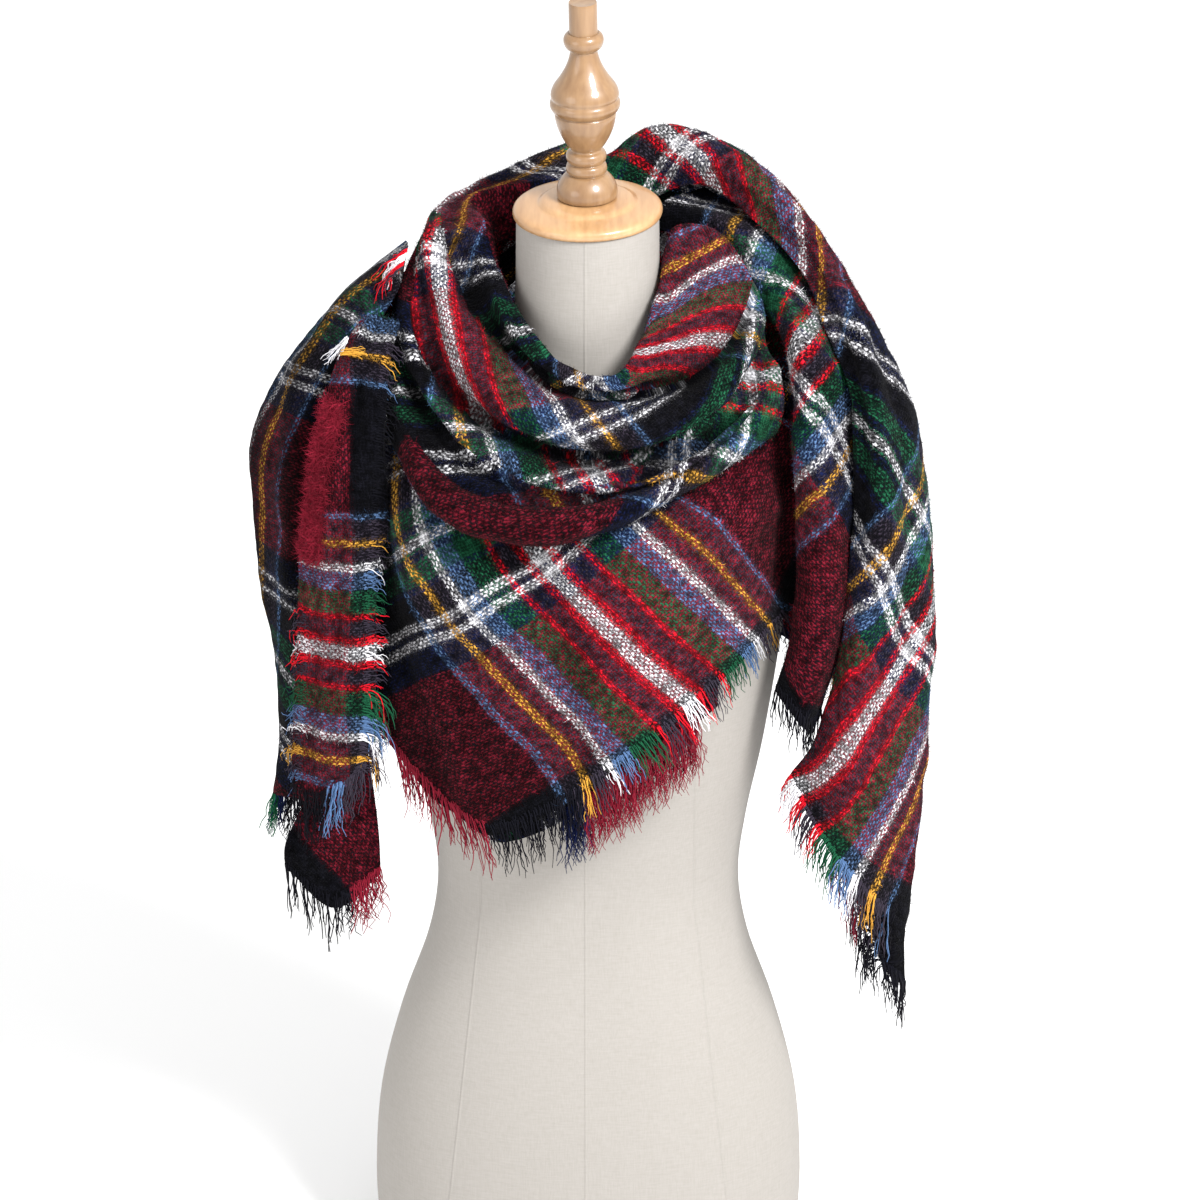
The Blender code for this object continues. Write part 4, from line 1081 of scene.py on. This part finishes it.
under_row = UNDER_FIRST_ROW * POINT_STEPS[0]
under_columns = slice(0, UNDER_COLUMNS * POINT_STEPS[1] + 1)
second = under_layer(sheet_net(POINT_SECTIONS, *POINT_STEPS), under_row)[:, under_columns]
# seen from the front it is the square's other face, so the two sets of yarns change places
second_flat = point_flat[under_row:, under_columns, ::-1] + np.array([0.0, UNDER_SHIFT])
second_piece = walled("point_second_cloth", second, second_flat)
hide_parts("scarf_point_under")
second_hem = edge_yarns("point_second_fringe", second, second_flat, "hem", (0.54, 0.93),
                        per_mm=4.8, finish=Q_YARN, length=36.0, droop=0.5, curl=2.6, bunch=0.6)
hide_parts("fringe_point_under")
declare(second)

# ============================================================ the end over the left shoulder
# The outer panel starts behind the neck, rolls over the wearer's left shoulder and hangs in
# front of it, with stripes along it and fringe along its slanting hem.
OUTER_STEPS = (18, 12)
OUTER_SECTIONS = [
    ((-22, 82, 846), (-22, 86, 860), (-21, 96, 868), (-20, 104, 850)),
    ((10, 82, 848), (11, 91, 872), (12, 104, 880), (14, 120, 852)),
    ((42, 76, 852), (48, 84, 889), (56, 102, 905), (76, 160, 854)),
    ((88, 62, 870), (96, 66, 890), (113, 76, 898), (138, 126, 842)),
    ((131, 24, 850), (136, 28, 872), (152, 38, 874), (176, 94, 816)),
    ((164, -4, 820), (171, 0, 840), (185, 8, 836), (206, 68, 780)),
    ((179, -35, 790), (197, -38, 804), (223, -6, 774), (234, 58, 720)),
    ((200, -58, 736), (218, -70, 740), (249, -20, 715), (244, 46, 670)),
    ((202, -74, 640), (227, -92, 650), (263, -35, 631), (254, 30, 598)),
    ((195, -80, 546), (216, -96, 548), (266, -45, 526), (256, 12, 504)),
    ((177, -79, 470), (206, -98, 455), (260, -52, 420), (252, -6, 404)),
    ((156, -66, 428), (200, -93, 358), (245, -60, 289), (242, -38, 285))]
OUTER_PINS = [
    (11, 1.4, 1285.5, 8), (11, 1.2, 1265.5, 8), (11, 0.9, 1255, 8), (10.9, 0.8, 1238, 8),
    (11, 0.06, 1196.5, 8), (9.3, 1.3, 1196.5, None), (8.1, 0, None, 174),
    (8.2, 0.6, None, 174), (8.6, 1.2, None, 174), (8.8, 1.4, None, 174), (9.2, 1.6, None, 174),
    (3.0, 0.9, 865.5, None), (3.9, 0.9, 907, None), (4.8, 0.8, 934.5, None),
    (5.3, 0.6, 954.5, None), (5.8, 1.1, 976.5, None), (2.6, 1.2, None, 487),
    (6.0, 0.7, None, 304), (6.3, 1.2, None, 304), (6.6, 1.9, None, 304), (6.6, 1.0, None, 292),
    (6.6, 2.6, None, 292), (7.3, 0.8, None, 239), (7.7, 1.3, None, 239),
    (8.0, 1.1, 1107.5, None), (8.5, 0.2, 1107.5, None), (8.2, 0.6, None, 186),
    (8.6, 1.2, None, 186)]
OUTER_CREASES = [(4.0, 10.0, [(4.0, 1.5), (6.0, 1.6), (8.0, 1.5), (10.0, 1.6)]),
                 (5.0, 9.0, [(3.5, 0.5), (5.0, 0.6), (6.5, 0.45), (8.0, 0.35)]),
                 (-3.0, 9.0, [(2.4, 1.1), (4.0, 1.0), (6.4, 1.1), (8.8, 1.0)]),
                 (4.0, 8.0, [(0.8, 1.4), (2.0, 1.5), (3.4, 1.9), (5.0, 2.4)])]

outer, outer_flat = laid_sheet(OUTER_SECTIONS, OUTER_STEPS, OUTER_PINS, OUTER_CREASES, uneven=0.5,
                               seed=3)
outer_piece = walled("outer_panel_cloth", outer, outer_flat)
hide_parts("scarf_right_outer")
outer_hem = edge_yarns("outer_panel_fringe", outer, outer_flat, "hem", (0.0, 0.80), per_mm=1.25,
                       finish=P_YARN, length=28.0, droop=0.8, curl=1.5, thick=1.2, bunch=0.6,
                       follow=0.8)
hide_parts("fringe_right_outer")
declare(outer)
nap("outer_panel_nap", outer, outer_flat, 18000)

# ============================================================ the same end, inner pleat
# The edge of the same end, folded back on itself inside the outer panel, with a short black
# fringe at its corner.
INNER_STEPS = (18, 10)
INNER_SECTIONS = [
    ((48, 58, 838), (54, 57, 850), (62, 60, 858), (76, 74, 858), (90, 90, 858)),
    ((98, 34, 826), (104, 26, 837), (114, 22, 846), (127, 28, 845), (141, 40, 842)),
    ((136, 2, 788), (137.2, -10, 797), (149, -17, 810), (161, -4, 810), (175, 10, 811)),
    ((153, -26, 766), (151, -38, 775), (161, -49, 784), (175, -40, 783), (190, -22, 783)),
    ((158, -40, 746), (157, -54, 751), (166, -64, 760), (183, -55, 758), (200, -35, 756)),
    ((159, -50, 720), (158, -65, 725), (170, -76, 732), (188, -62, 730), (208, -42, 726)),
    ((159, -60, 696), (157, -73, 700), (174, -88, 702), (189, -74, 698), (208, -46, 694)),
    ((164, -62, 633), (161, -76, 635), (174, -94, 638), (191.3, -87, 636), (207.3, -58, 632)),
    ((162, -62, 560), (158, -78, 562), (170, -94, 564), (187.3, -90, 564), (201.3, -62, 560)),
    ((152, -64, 508), (147, -76, 504), (156, -90, 494), (168, -94, 480), (178, -64, 476))]
INNER_PINS = [
    (0.8, 2.5, 1107.5, None), (1.2, 2.7, 1127.5, None), (1.6, 3.1, 1155, None),
    (2.2, 1.8, 1168, None), (3.0, 1.8, 1196.5, None), (3.3, 2.7, 1206, None),
    (5.1, 2.0, 1238, None), (5.4, 2.3, 1255, None), (6.1, 1.9, 1265.5, None),
    (6.5, 1.9, 1285.5, None), (6.9, 2.0, 1307.5, None), (1.7, 1.7, None, 239),
    (2.0, 2.9, None, 239), (4.6, 2.1, None, 186), (5.1, 2.8, None, 180),
    (0.2, 2.8, None, 300), (9.0, 2.5, 1380, 20)]
INNER_BORDER = 15.0             # mm, its fringe takes the colour this much nearer the edge

inner, inner_flat = laid_sheet(INNER_SECTIONS, INNER_STEPS, INNER_PINS, (), uneven=0.4, seed=4)
inner_piece = walled("inner_pleat_cloth", inner, inner_flat)
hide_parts("scarf_right_inner")
inner_hem = edge_yarns("inner_pleat_fringe", inner, inner_flat - INNER_BORDER, "hem",
                       (0.15, 0.95), per_mm=0.75, finish=Q_YARN, length=24.0, droop=0.8, curl=1.2,
                       thick=1.3, bunch=0.5)
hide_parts("fringe_right_inner")
declare(inner)
nap("inner_pleat_nap", inner, inner_flat, 9000)

# ============================================================ the same end, second layer
# The other half of the folded square, behind the outer panel's hem.  Its crimson and black
# corner comes out below and is the scarf's lowest tip.
TAIL_STEPS = (14, 10)
TAIL_SECTIONS = [
    ((190, -76, 460), (228, -81.8, 452), (250, -56, 446)),
    ((192, -74, 392), (230, -74, 376), (249, -54, 366)),
    ((212, -70, 326), (235, -68.5, 308), (248, -54, 296)),
    ((232, -64, 268), (242, -62, 254), (250, -56, 242))]
TAIL_PINS = [(0, 0, 1200, 15), (3, 0, 1390, 12), (0, 2, 1230, 80), (3, 2, 1385, 30)]
TAIL_RED_ROWS, TAIL_RED = 30, 60.0      # rows whose side fringe is crimson, and its q

tail, tail_flat = laid_sheet(TAIL_SECTIONS, TAIL_STEPS, TAIL_PINS, (), uneven=0.4, seed=5)
tail_piece = walled("outer_second_cloth", tail, tail_flat)
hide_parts("scarf_right_under")
tail_places = tail_flat.copy()
tail_places[:TAIL_RED_ROWS, :, 1] = TAIL_RED
tail_edge = edge_yarns("outer_second_fringe", tail, tail_places, "first", (0.42, 1.0), per_mm=1.2,
                       finish=Q_YARN, length=30.0, droop=1.5, curl=1.4, thick=1.25, bunch=0.5)
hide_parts("fringe_right_under")
tail_tip = edge_yarns("outer_tip_fringe", tail, tail_flat, "hem", (0.0, 1.0), per_mm=1.4,
                      finish=Q_YARN, length=30.0, droop=0.7, curl=1.4, thick=1.25, bunch=0.5)
declare(tail)
nap("outer_second_nap", tail, tail_flat, 2500)

# ============================================================ the end over the right shoulder
# The other end comes over the wearer's right shoulder and hangs as a narrow folded strip,
# behind its own front panel.
LEFT_STEPS = (18, 14)
LEFT_SECTIONS = [
    ((-143.5, 10, 806), (-139, 30, 828), (-141, 58, 824), (-149, 100.4, 781)),
    ((-159, -16, 784), (-168, -2, 806), (-188, 20, 794), (-202, 76, 742)),
    ((-167, -28, 762), (-188, -22, 784), (-218, 6, 758), (-228, 64, 706)),
    ((-173, -38, 736), (-204, -44, 748), (-240, -6, 726), (-242, 54, 678)),
    ((-182, -46, 698), (-220, -56, 703), (-255, -16, 686), (-247, 42, 650)),
    ((-188, -50, 618), (-221, -62, 622), (-252, -22, 602), (-243, 32, 576)),
    ((-190, -52, 540), (-218, -64, 542), (-243, -27, 524), (-236, 20, 504)),
    ((-194, -53, 472), (-219, -64, 470), (-240, -32, 452), (-234, 6, 436)),
    ((-199, -54, 418), (-224, -62, 410), (-245, -38, 402), (-240, -10, 394))]
LEFT_PINS = [
    (1.7, 1.0, None, 546.5), (1.6, 2.0, None, 546.5), (2.8, 1.7, None, 493.5),
    (3.1, 1.2, None, 481.5), (3.2, 1.8, 465.5, None), (3.9, 1.6, 445.5, None),
    (4.3, 1.4, 423.5, None), (5.1, 1.9, None, 304), (5.4, 1.0, None, 304),
    (5.3, 2.2, None, 292), (5.6, 1.2, None, 292), (6.2, 1.2, None, 256),
    (6.6, 1.3, None, 239)]
LEFT_END = (186.0, 45.0)        # q of its first loose yarn, and how far q grows to the last
LEFT_CREASES = [(4.0, 9.0, [(0.6, 1.4), (2.4, 1.5), (4.2, 1.2), (6.0, 1.3)]),
                (3.5, 8.0, [(1.0, 2.2), (2.6, 2.1), (4.6, 2.0), (6.2, 2.1)])]

left, left_flat = laid_sheet(LEFT_SECTIONS, LEFT_STEPS, LEFT_PINS, LEFT_CREASES, uneven=0.5,
                             seed=6)
left_piece = walled("left_strip_cloth", left, left_flat)
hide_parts("scarf_left_outer")
# its loose ends are white, black, navy and green
end_places = left_flat.copy()
end_places[..., 1] = LEFT_END[0] + np.linspace(0, LEFT_END[1], left.shape[1])
left_hem = edge_yarns("left_strip_fringe", left, end_places, "hem", (0.0, 1.0), per_mm=1.6,
                      finish=Q_YARN, length=30.0, droop=0.6, curl=3.0, thick=1.1, bunch=0.6)
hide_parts("fringe_left_outer")
declare(left)
nap("left_strip_nap", left, left_flat, 12000)

# ============================================================ the same end, front panel
# The fringed edge of that end, turned to the front over the strip.  Long crimson fibres are
# brushed out along its fold, and two bunches of loose yarn lie over its top.
FRONT_STEPS = (16, 12)
FOLD_PART = (slice(27, 62), slice(0, 10))       # grid rows and columns of the brushed fold
FOLD_FIBRES, FOLD_LENGTH, FOLD_WIDTH = 5200, 16.0, 0.6
FOLD_SHADES = (-0.7, 0.9)       # the least and the most that its fibres are darkened by
FRONT_SECTIONS = [
    ((-170, -44, 800), (-162, -48, 803), (-152, -47, 800), (-143, -44, 794)),
    ((-188, -60, 774), (-176, -68, 775), (-162, -70, 774), (-150, -66, 768)),
    ((-202, -72, 726), (-185, -86, 724), (-168, -90, 722), (-154, -86, 718)),
    ((-213, -74, 663), (-195, -92, 662), (-175, -98, 659), (-152.1, -89.2, 656)),
    ((-220, -75, 606), (-201, -96, 606), (-179, -104, 605), (-161, -99, 603)),
    ((-223, -76, 542), (-202, -97, 544), (-179, -106, 543), (-162, -101, 543)),
    ((-228, -76, 476), (-207, -96, 476), (-184, -104, 478), (-166, -100, 482)),
    ((-229, -76, 416), (-211, -92, 418), (-191, -100, 432), (-172, -98, 450))]
FRONT_PINS = [
    (3.0, 2.9, 314.5, 5), (3.3, 3.0, 292.5, 5), (3.7, 3.0, 272.5, 5), (4.15, 3.0, 245, 5),
    (4.35, 3.0, 232, 5), (4.9, 3.0, 203.5, 5), (5.3, 3.0, 175, 5), (5.6, 3.0, 162, 5),
    (2.2, 1.2, 370, 28), (2.8, 1.5, 330, 28), (1.2, 1.5, 423.5, 20), (0.95, 1.2, 445.5, 20),
    (0.7, 1.6, 463, None), (0.3, 1.8, 480, None), (2.4, 0.0, None, 80),
    (3.7, 0.3, None, 80)]
FRONT_CREASES = [(5.0, 7.0, [(0.8, 1.5), (2.4, 1.5), (4.2, 1.45), (5.6, 1.3)]),
                 (3.0, 6.0, [(4.4, 0.8), (5.6, 0.7), (6.8, 0.8)])]
# root in mm, the way it runs, its length, and the stripe that its yarns come from
TOP_TUFTS = [("left_white_tuft", (-182, -66, 789), (-0.66, 0.30, -0.72), 27.0, 203.5),
             ("left_yellow_tuft", (-186, -70, 780), (0.97, -0.05, 0.12), 17.0, 292.0)]
TOP_TUFT_COUNT, TOP_TUFT_SPREAD = 20, (1.2, 0.6, 1.4)
TOP_TUFT_FACING = (-0.2, -1.0, 0.3)
TUFT_Q = 8.0                    # they leave the square at its edge

front, front_flat = laid_sheet(FRONT_SECTIONS, FRONT_STEPS, FRONT_PINS, FRONT_CREASES, uneven=0.5,
                               seed=7)
front_piece = walled("left_panel_cloth", front, front_flat)
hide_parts("scarf_left_front")
front_hem = edge_yarns("left_panel_fringe", front, front_flat, "hem", (0.0, 1.0), per_mm=1.3,
                       finish=P_YARN, length=32.0, droop=0.7, curl=2.0, thick=1.1, bunch=0.6)
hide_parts("fringe_left_front")
front_side = edge_yarns("left_side_fringe", front, front_flat, "last", (0.05, 0.80), per_mm=0.9,
                        finish=P_YARN, length=9.0, droop=0.4, curl=1.5, thick=1.0)
front_end = edge_yarns("left_end_fringe", front, front_flat, "last", (0.80, 0.99), per_mm=1.7,
                       finish=P_YARN, length=26.0, droop=1.0, curl=1.6, thick=1.1, bunch=0.6)
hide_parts("fringe_left_side")
front_back = edge_yarns("left_back_fringe", front, front_flat, "first", (0.60, 0.97), per_mm=1.4,
                        finish=P_YARN, length=11.0, droop=0.5, curl=4.5)
for tuft_name, tuft_from, tuft_way, tuft_length, stripe in TOP_TUFTS:
    root = (np.array(tuft_from) + random.normal(size=(TOP_TUFT_COUNT, 3)) * TOP_TUFT_SPREAD) * MM
    way = unit(np.tile(tuft_way, (TOP_TUFT_COUNT, 1)))
    facing = unit(np.tile(TOP_TUFT_FACING, (TOP_TUFT_COUNT, 1)))
    place = np.tile((stripe, TUFT_Q), (TOP_TUFT_COUNT, 1))
    strands(tuft_name, root, way, facing, place, P_YARN, tuft_length,
                         droop=0.1, curl=0.7)
declare(front)
fold_shade = random.uniform(*FOLD_SHADES, front[FOLD_PART].shape[:2])
nap("left_fold_nap", front[FOLD_PART], front_flat[FOLD_PART], FOLD_FIBRES, length=FOLD_LENGTH,
    width=FOLD_WIDTH, finish=Q_YARN, shaded=fold_shade)
nap("left_panel_nap", front, front_flat, 9000)

# ============================================================ the same end, lower layer
# The other half of the folded square, hanging below the strip and the panel.  It is the
# square's crimson and black corner, fringed in both colours.
LOWER_STEPS = (12, 12)
LOWER_SECTIONS = [
    ((-206, -63.6, 446), (-190, -68, 448), (-171, -63, 450)),
    ((-222, -64.2, 404), (-198, -70, 408), (-166, -65, 410)),
    ((-236, -65, 372), (-200, -73, 368), (-163, -67, 376)),
    ((-237, -60, 349), (-199, -69, 318), (-162, -67, 346))]
LOWER_PINS = [(3, 1, 5, 5), (3, 2, 2, 60), (3, 0, 60, 3), (0, 1, 90, 90)]

lower, lower_flat = laid_sheet(LOWER_SECTIONS, LOWER_STEPS, LOWER_PINS, (), uneven=0.4, seed=8)
lower_piece = walled("left_lower_cloth", lower, lower_flat)
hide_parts("scarf_left_under")
lower_dark = edge_yarns("left_lower_dark_fringe", lower, lower_flat, "hem", (0.0, 0.60),
                        per_mm=0.6, finish=P_YARN, length=36.0, droop=0.35, curl=1.0, thick=1.25,
                        bunch=0.3)
lower_red = edge_yarns("left_lower_red_fringe", lower, lower_flat, "hem", (0.58, 1.0), per_mm=1.8,
                       finish=Q_YARN, length=28.0, droop=0.5, curl=3.5, thick=1.1)
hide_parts("fringe_left_under")
declare(lower)
nap("left_lower_nap", lower, lower_flat, 2500)

# ============================================================ the tuft by the neck roll
# A stretch of the scarf's other fringed edge, whose loose yarns come out between the roll and
# the strip.  The edge that holds them is out of sight under the roll.
TUFT_ROOT = [(-138, 16, 837.2), (-140, 5, 832.2), (-142, -6, 826.2)]
TUFT_RUN = (-0.85, -0.15, -0.5)
TUFT_COUNT = 60
TUFT_P = (186, 34)              # p of its first yarn, and how far p grows to the last

tuft_share = (np.arange(TUFT_COUNT) + random.uniform(-0.3, 0.3, TUFT_COUNT)) / TUFT_COUNT
tuft_line = spline(np.array(TUFT_ROOT) * MM, 10)
tuft_root = bilinear(tuft_line[None].repeat(2, 0), np.zeros(TUFT_COUNT),
                     tuft_share * (len(tuft_line) - 1))
tuft_leave = unit(np.tile(TUFT_RUN, (TUFT_COUNT, 1)))
tuft_facing = unit(np.cross(tuft_leave, np.gradient(tuft_root, axis=0)) * -1)
tuft_place = np.stack([TUFT_P[0] + tuft_share * TUFT_P[1], np.full(TUFT_COUNT, TUFT_Q)],
                      axis=1)
tuft = strands("shoulder_tuft", tuft_root, tuft_leave, tuft_facing, tuft_place, P_YARN,
               length=36.0, droop=0.5, curl=3.0)
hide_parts("fringe_shoulder")

# ============================================================ the bands on the back
# Out of sight from the front: the two ends cross behind the neck, one over the other, in
# soft pleats down to their fringed edges.
BACK_STEPS = (18, 14)
BACK_OVER = [
    ((-124, 66, 792), (-131, 86, 796), (-74, 124, 834), (0, 138, 846), (62, 124, 856),
     (112, 92, 852), (140, 58, 830)),
    ((-178, 50, 732), (-194, 68, 738), (-100, 142, 776), (5, 162, 800), (108, 146, 816),
     (190, 70, 790), (176, 40, 798)),
    ((-212, 28, 648), (-239, 42, 650), (-125, 146, 692), (10, 176, 740), (128, 150, 768),
     (214, 62, 746), (206, 38, 744)),
    ((-208, 12, 548), (-233, 27, 548), (-142, 140, 598), (5, 172, 676), (142, 150, 722),
     (229, 54, 708), (222, 26, 706)),
    ((-204, -4, 456), (-227, 10, 452), (-142, 126, 512), (-5, 164, 612), (142, 146, 682),
     (237, 44, 668), (228, 18, 668))]
BACK_OVER_PINS = [(1, 1, 300, 640), (1, 5, 560, 380), (3, 1, 150, 480), (3, 5, 450, 240)]
BACK_UNDER = [
    ((-208, 24, 668), (-122, 122, 690), (0, 146, 690), (120, 130, 700), (214, 46, 676),
     (206, 20, 676)),
    ((-212, 16, 640), (-124, 118, 650), (8, 148, 640), (138, 126, 630), (246.6, 30.6, 600),
     (236, 6, 600)),
    ((-212, 10, 612), (-120, 116, 616), (14, 146, 590), (142, 120, 556), (250, 14, 510),
     (237, -8, 510)),
    ((-206, 10, 590), (-108, 112, 586), (22, 140, 548), (140, 110, 488), (245, 0, 430),
     (234, -16, 430))]
BACK_UNDER_PINS = [(0, 1, 640, 300), (0, 4, 380, 500), (3, 1, 560, 200), (3, 4, 240, 330)]
# name, sections, pins, pleats, their depth in mm and skew, seed, fringed share of the hem, nodes
BACK_BANDS = [
    ("back_over", BACK_OVER, BACK_OVER_PINS, 4, 6, 0.25, 9, (0.15, 0.90),
     ("scarf_back_over", "fringe_back_over")),
    ("back_under", BACK_UNDER, BACK_UNDER_PINS, 3, 4, -0.25, 10, (0.40, 0.90),
     ("scarf_back_under", "fringe_back_under"))]


def pleated(grid, pleats, depth, skew):
    """The sheet with rounded pleats that run along it, deepest in its middle.

    Each point moves along its normal by depth x cos(pleats x 2 pi x (across + skew x along)),
    faded to nothing at both sides and at the lower edge."""
    rows, columns = grid.shape[:2]
    along, across = np.meshgrid(np.linspace(0, 1, rows), np.linspace(0, 1, columns),
                                indexing="ij")
    ends = np.maximum(np.sin(math.pi * (0.12 + 0.88 * along)), 0) ** 0.5
    fade = np.sin(math.pi * across) * ends
    wave = np.cos(2 * math.pi * pleats * (across + skew * along))
    return grid + normals_of(grid) * (depth * MM * fade * wave)[..., None]


for name, sections, pins, pleats, depth, skew, seed, fringe_span, nodes in BACK_BANDS:
    band_flat = flat_places(sheet_net(sections, COARSE, COARSE), pins, *BACK_STEPS)
    band = pleated(sheet_net(sections, *BACK_STEPS), pleats, depth, skew)
    band = wrinkle(band, band_flat, 0.5, seed)
    band_piece = walled(f"{name}_cloth", band, band_flat, side=1)
    band_hem = edge_yarns(f"{name}_fringe", band, band_flat, "hem", fringe_span, per_mm=0.7,
                          finish=P_YARN, length=22.0, droop=0.7, curl=2.5, outside=1)
    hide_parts(nodes[0])
    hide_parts(nodes[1])
    declare(band)
    nap(f"{name}_nap", band, band_flat, 8000, side=1)
